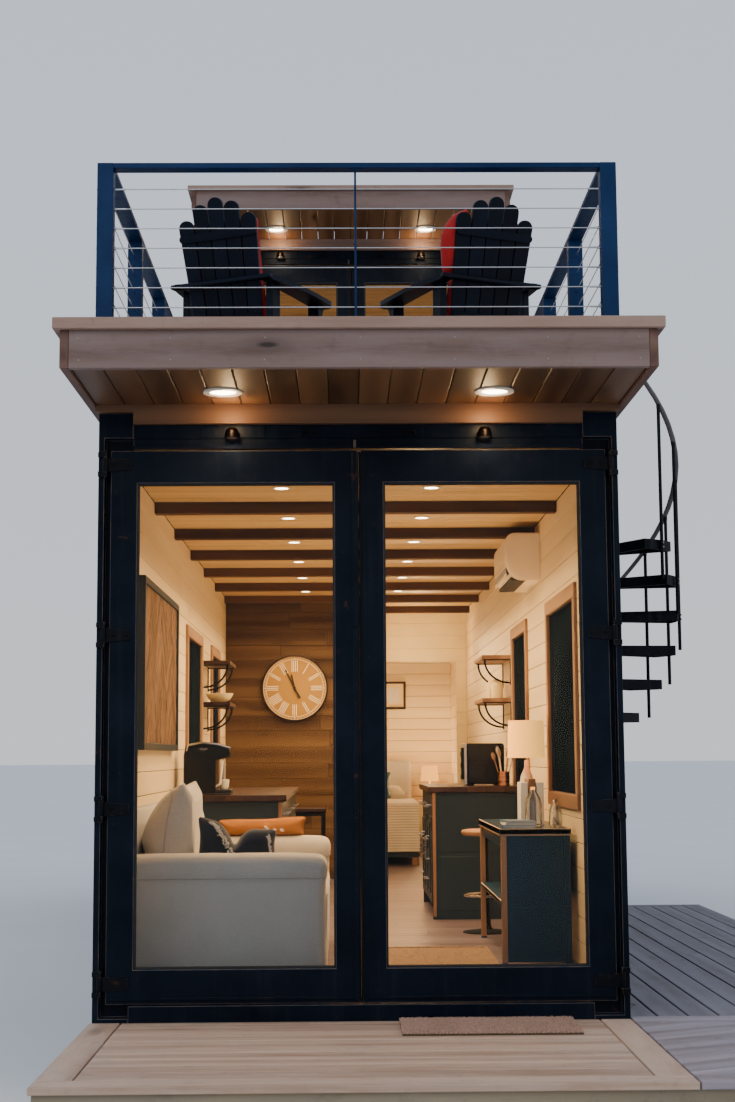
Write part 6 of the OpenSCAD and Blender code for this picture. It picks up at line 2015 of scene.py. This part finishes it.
def wall_things():
    # framed panel of upright offcuts
    b = Build([M["joinery"], M["panel_wood"], M["feature"], M["casing"], M["top"], M["light_wood"]])
    xa, xb = -1.159, -1.119
    y0, y1, z0, z1 = 1.100, 2.960, 1.530, 2.450
    for a, c, e, f, ax in ((y0, y1, z0, z0 + 0.038, 1), (y0, y1, z1 - 0.038, z1, 1), (y0, y0 + 0.038, z0 + 0.038, z1 - 0.038, 2),
                           (y1 - 0.038, y1, z0 + 0.038, z1 - 0.038, 2)):
        b.box((xa, a, e), (xb, c, f), ax, 0.002, 0)
    b.box((xa, y0 + 0.03, z0 + 0.03), (xa + 0.006, y1 - 0.03, z1 - 0.03), 1, 0.001, 0)
    # slats at 45 degrees in six columns, each column mirrored, with thin pale strips between
    ya, yb_, za_, zb_ = y0 + 0.0385, y1 - 0.0385, z0 + 0.0385, z1 - 0.0385
    cw = (yb_ - ya) / 6

    def cut(poly, lim, up):
        out = []
        for i, (p0, p1) in enumerate(zip(poly, poly[1:] + poly[:1])):
            in0, in1 = ((p0[1] <= lim) if up else (p0[1] >= lim)), ((p1[1] <= lim) if up else (p1[1] >= lim))
            if in0:
                out.append(p0)
            if in0 != in1:
                f = (lim - p0[1]) / (p1[1] - p0[1])
                out.append((p0[0] + f * (p1[0] - p0[0]), lim))
        return out
    for k in range(6):
        ca, cb = ya + k * cw + 0.0006, ya + (k + 1) * cw - 0.0006
        rise = (cb - ca) * (1 if k % 2 == 0 else -1)
        z, j = za_ - abs(rise) - 0.02 * (k % 2), 0
        while z < zb_ + abs(rise):
            h = 0.011 if j % 2 else RND.uniform(0.070, 0.105)
            poly = [(ca, z), (cb, z + rise), (cb, z + rise + h - 0.0014), (ca, z + h - 0.0014)]
            poly = cut(cut(poly, za_, False), zb_, True)
            area_ = sum(p0[0] * p1[1] - p1[0] * p0[1] for p0, p1 in zip(poly, poly[1:] + poly[:1])) / 2 if len(poly) > 2 else 0
            if area_ > 2e-5:
                b.prism(poly, xa + 0.005, xb - (0.0115 if j % 2 else RND.choice((0.012, 0.014))), 0, 3 if j % 2 else RND.choice((1, 2, 1, 2)),
                        grain_axis=1)
            z += h
            j += 1
    # picture on the bedroom's rear wall: frame, mount and a bare sheet
    xa, xc, za, zc, yb = 0.280, 0.640, 2.030, 2.350, LOW_L - 0.191
    for a, c, e, f, ax in ((xa, xc, za, za + 0.026, 0), (xa, xc, zc - 0.026, zc, 0), (xa, xa + 0.026, za + 0.026, zc - 0.026, 2),
                           (xc - 0.026, xc, za + 0.026, zc - 0.026, 2)):
        b.box((a, yb - 0.024, e), (c, yb, f), ax, 0.002, 4)
    b.done("wall_panel_and_picture_frame", replaces="wall_panel_and_clock")
    b = Build([M["white"], M["linen"]])
    b.box((xa + 0.02, yb - 0.010, za + 0.02), (xc - 0.02, yb - 0.006, zc - 0.02), 0, 0.0005, 0)
    b.box((xa + 0.075, yb - 0.0125, za + 0.07), (xc - 0.075, yb - 0.0095, zc - 0.07), 0, 0.0005, 1)
    b.done("picture_mount", replaces="wall_panel_and_clock")
    # clock
    b = Build([M["clock_face"], M["rim"], M["mark"], M["hand"]])
    c = (-0.525, 7.849, 2.115)
    b.lathe([(0.0, 0.0), (0.300, 0.0), (0.300, 0.020), (0.289, 0.023), (0.0, 0.024)], c, 96, "-y", 0)
    b.lathe([(0.289, 0.0), (0.304, 0.0), (0.304, 0.036), (0.300, 0.042), (0.294, 0.043), (0.290, 0.038), (0.289, 0.022), (0.289, 0.0)], c, 96, "-y", 1)
    yf = c[1] - 0.0245

    def radial(a, r0, r1, w, mi, lift=0.0035, off=0.0):
        u = Vector((math.sin(a), 0, math.cos(a)))
        v = Vector((math.cos(a), 0, -math.sin(a)))
        o = Vector((c[0], yf, c[2])) + v * off
        p = [o + u * r0 - v * w, o + u * r0 + v * w, o + u * r1 + v * w, o + u * r1 - v * w]
        q = [x_ + Vector((0, -lift, 0)) for x_ in p]
        m = np.array([tuple(x_) for x_ in p + q])
        b.put(m, [(0, 1, 2, 3), (7, 6, 5, 4), (0, 4, 5, 1), (1, 5, 6, 2), (2, 6, 7, 3), (3, 7, 4, 0)], m, 0.5, mi)
    strokes = {12: 4, 1: 1, 2: 2, 3: 3, 4: 3, 5: 2, 6: 3, 7: 4, 8: 5, 9: 3, 10: 2, 11: 3}
    for h, n in strokes.items():
        a = 2 * math.pi * h / 12
        for k in range(n):
            radial(a, 0.150, 0.252, 0.0026, 2, lift=0.006, off=(k - (n - 1) / 2) * 0.0165)
    for k in range(60):
        radial(2 * math.pi * k / 60, 0.266, 0.278, 0.0016 if k % 5 else 0.0030, 2)
    for k in range(12):
        a = 2 * math.pi * k / 12
        p = Vector((c[0] + 0.2965 * math.sin(a), c[1] - 0.0425, c[2] + 0.2965 * math.cos(a)))
        b.cyl(p, p + Vector((0, -0.0024, 0)), 0.0085, 16, 0.0008, mi=3)
    for k in range(2):
        b.tube([(c[0] + (0.262 + 0.024 * k) * math.sin(a), yf - 0.0005, c[2] + (0.262 + 0.024 * k) * math.cos(a))
                for a in [2 * math.pi * j / 96 for j in range(97)]], 0.0016, 6, 2)

    def hand(a, r, tail, w):
        u = Vector((math.sin(a), 0, math.cos(a)))
        o = Vector((c[0], yf - 0.008, c[2]))
        b.tube([o - u * tail, o - u * (tail - 0.012), o - u * 0.01, o + u * 0.02, o + u * r * 0.75, o + u * r * 0.82, o + u * r * 0.86,
                o + u * r], [w * 2.0, w * 2.4, w, w * 1.3, w, w * 2.3, w * 0.9, w * 0.4], 10, 3, flat=(1, 0.5))
    hand(math.radians(-27), 0.215, 0.105, 0.0062)
    hand(math.radians(-14), 0.135, 0.03, 0.0074)
    b.lathe([(0.0, 0.0), (0.013, 0.0), (0.013, 0.008), (0.008, 0.012), (0.0, 0.012)], (c[0], yf - 0.002, c[2]), 28, "-y", 3)
    b.done("wall_clock", replaces="wall_panel_and_clock")


def upper_room():
    b = Build([M["shiplap"], M["ceiling"]])
    z0, z1 = UP_Z + 0.190, UP_TOP - 0.110
    ya, yb = UP_Y + 0.180, LOW_L - 0.180
    z = z0
    while z < z1 - 0.003:
        ze = min(z + 0.128, z1)
        r = RND.random()
        j = RND.uniform(8.0, 10.5)
        for s in (-1, 1):
            for a, c in ((ya, j - 0.0006), (j + 0.0006, yb)):
                b.box((s * INX, a, z), (s * (INX + 0.008), c, ze - 0.003), 1, 0.0018, 0, r)
        b.box((-INX, yb - 0.018, z), (INX, yb, ze - 0.003), 0, 0.0018, 0, (r + 0.4) % 1)
        z += 0.128
    y = ya
    while y < yb - 0.004:
        ye = min(y + 0.088, yb)
        b.box((-INX, y, z1), (INX, ye - 0.0016, z1 + 0.018), 0, 0.0022, 1)
        y += 0.088
    b.done("upper_boarding", replaces="upper_lining")


def trims_on_pads():
    """Yarn tufts on the navy cushion, pressed on after the cloth step."""
    b = Build([M["yarn"]])
    bvh = bvh_of("navy_cushion")
    for (xa, za, xb, zb, wid, n) in ((-0.745, 1.185, -0.600, 0.93, 0.017, 190), (-0.455, 1.10, -0.430, 0.94, 0.008, 90)):
        for k in range(n):
            u = k / n
            x = xa + (xb - xa) * u + RND.uniform(-wid, wid)
            z = za + (zb - za) * u + RND.uniform(-0.006, 0.006)
            hit, nor, _, _ = bvh.find_nearest(Vector((x, 0.86, z)))
            if hit is None:
                continue
            d = (nor + Vector((RND.uniform(-0.7, 0.7), RND.uniform(-0.3, 0.1), RND.uniform(-0.7, 0.7)))).normalized()
            b.tube([hit - nor * 0.001, hit + d * 0.006, hit + d * 0.010 + Vector((RND.uniform(-0.004, 0.004), 0, RND.uniform(-0.004, 0.004)))],
                   [0.0026, 0.0034, 0.0018], 6)
    b.done("navy_cushion_tufts")
    b = Build([M["yarn"]])
    bvh = bvh_of("orange_cushion")
    for k in range(90):
        u = k / 90
        hit, nor, _, _ = bvh.find_nearest(Vector((-0.52 + 0.05 * u, 1.83, 1.12 - 0.19 * u + RND.uniform(-0.003, 0.003))))
        q = hit + nor * 0.003 + Vector((RND.uniform(-0.006, 0.006), 0, 0))
        b.tube([hit, q, q + Vector((RND.uniform(-0.005, 0.005), -0.003, RND.uniform(-0.005, 0.005)))], [0.003, 0.0042, 0.002], 6)
    b.done("orange_cushion_trim")


def lampshade():
    t = Tree("linen_shade", Specular_IOR_Level=0.2)
    o = t.coords("x")
    s = t.add("ShaderNodeSeparateXYZ", {0: o}).outputs
    u = t.math("SINE", t.math("MULTIPLY", s[2], 900.0))
    n = t.noise(t.coords("x", (90, 90, 420)), 1.0, 3, 0.6)
    f = t.math("ADD", t.math("MULTIPLY", u, 0.12), n)
    c = t.ramp(f, [(0.25, (0.66, 0.27, 0.045)), (0.75, (1.0, 0.56, 0.125))])
    t.set("Base Color", c)
    t.set("Roughness", t.math("ADD", t.math("MULTIPLY", n, 0.1), 0.82))
    t.set("Emission Color", c)
    t.b.inputs["Emission Strength"].default_value = 1.5
    t.bump(f, 0.5, 0.001)
    return t.m


M["shade"] = lampshade()
M["clear"] = glass("bottle_glass", (0.90, 0.95, 0.96), 0.02)
M["copper"] = metal("copper_cup", (0.72, 0.34, 0.19), 0.28, bump=0.05)
M["appliance"] = plain("appliance_black", (0.0035, 0.0042, 0.0042), rough=0.2, spec=0.16, scale=60, amount=0.05, bump=0.015, coat=0.05)
M["clock_face"] = plain("clock_cream", (0.31, 0.175, 0.032), rough=0.7, spec=0.2, scale=14, amount=0.2)
M["rim"] = metal("clock_rim", (0.10, 0.062, 0.045), 0.4)
M["mark"] = plain("clock_marks", (0.92, 0.80, 0.58), rough=0.55, spec=0.3, scale=60)
M["hand"] = plain("clock_hands", (0.012, 0.012, 0.012), rough=0.45, spec=0.4, scale=80)


sofa()
chairs()
bed()
finish_pads()
trims_on_pads()
rug()
cabinets()
desk()
shelves()
furniture()
aircon()
wall_things()
upper_room()


# ------------------------------------------------------------------ lamps inside
def inside_light():
    for s in (-1, 1):
        for i, y in enumerate((1.34, 2.53, 3.725, 4.915, 6.085, 7.25)):
            spot_light(f"ceiling_spot_{'l' if s < 0 else 'r'}{i}", (s * 0.41, y, CEIL - 0.012), (s * 0.41, y, 0), 80, WARM, 150, 0.9, 0.04)
    area("room_glow", (0, 4.2, 2.6), (0, 4.2, 0), 1.6, 190, WARM, 6.5, glossy=False)
    area("room_bounce", (0, 4.4, 1.25), (0, 4.4, 3), 1.2, 80, WARM, 6.4, glossy=False)
    point_light("passage_glow", (0.62, 8.7, 2.5), 26, WARM, 0.15)
    point_light("bedroom_glow", (0.0, 10.6, 2.6), 44, WARM, 0.2)
    point_light("table_lamp_bulb", (1.010, 2.330, 1.58), 14, WARM, 0.03)
    point_light("bedside_lamp_bulb", (0.89, 11.65, 1.42), 44, WARM, 0.03)
    point_light("bedside_lamp_low", (0.89, 11.62, 1.17), 22, WARM, 0.03)
    for s in (-1, 1):
        for tag, y, z in (("porch", -0.315, SOFFIT), ("upper", UP_Y - 0.315, SOFFIT + OFF)):
            spot_light(f"{tag}_downlight_{'l' if s < 0 else 'r'}", (s * 0.616, y, z - 0.012), (s * 0.616, y, 0), 17, WARM2, 165, 0.8, 0.05)
        for tag, y, z in (("header", -0.0395, LOW_TOP - 0.118), ("upper_header", UP_Y - 0.0395, UP_TOP - 0.118)):
            spot_light(f"{tag}_lamp_{'l' if s < 0 else 'r'}", (s * 0.592, y, z - 0.012), (s * 0.592, y + 0.05, z - 0.4), 0.8, WARM2, 120, 0.8, 0.02)
            point_light(f"{tag}_wash_{'l' if s < 0 else 'r'}", (s * 0.592, y - 0.10, z + 0.055), 2.5, WARM, 0.03)
    area("upper_room_glow", (0, 8.5, 5.5), (0, 8.5, 3), 1.4, 84, WARM2, 4.5, glossy=False)


inside_light()

{"cad": CAD_BOX, "visual": [[float(x) for x in v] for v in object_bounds()]}
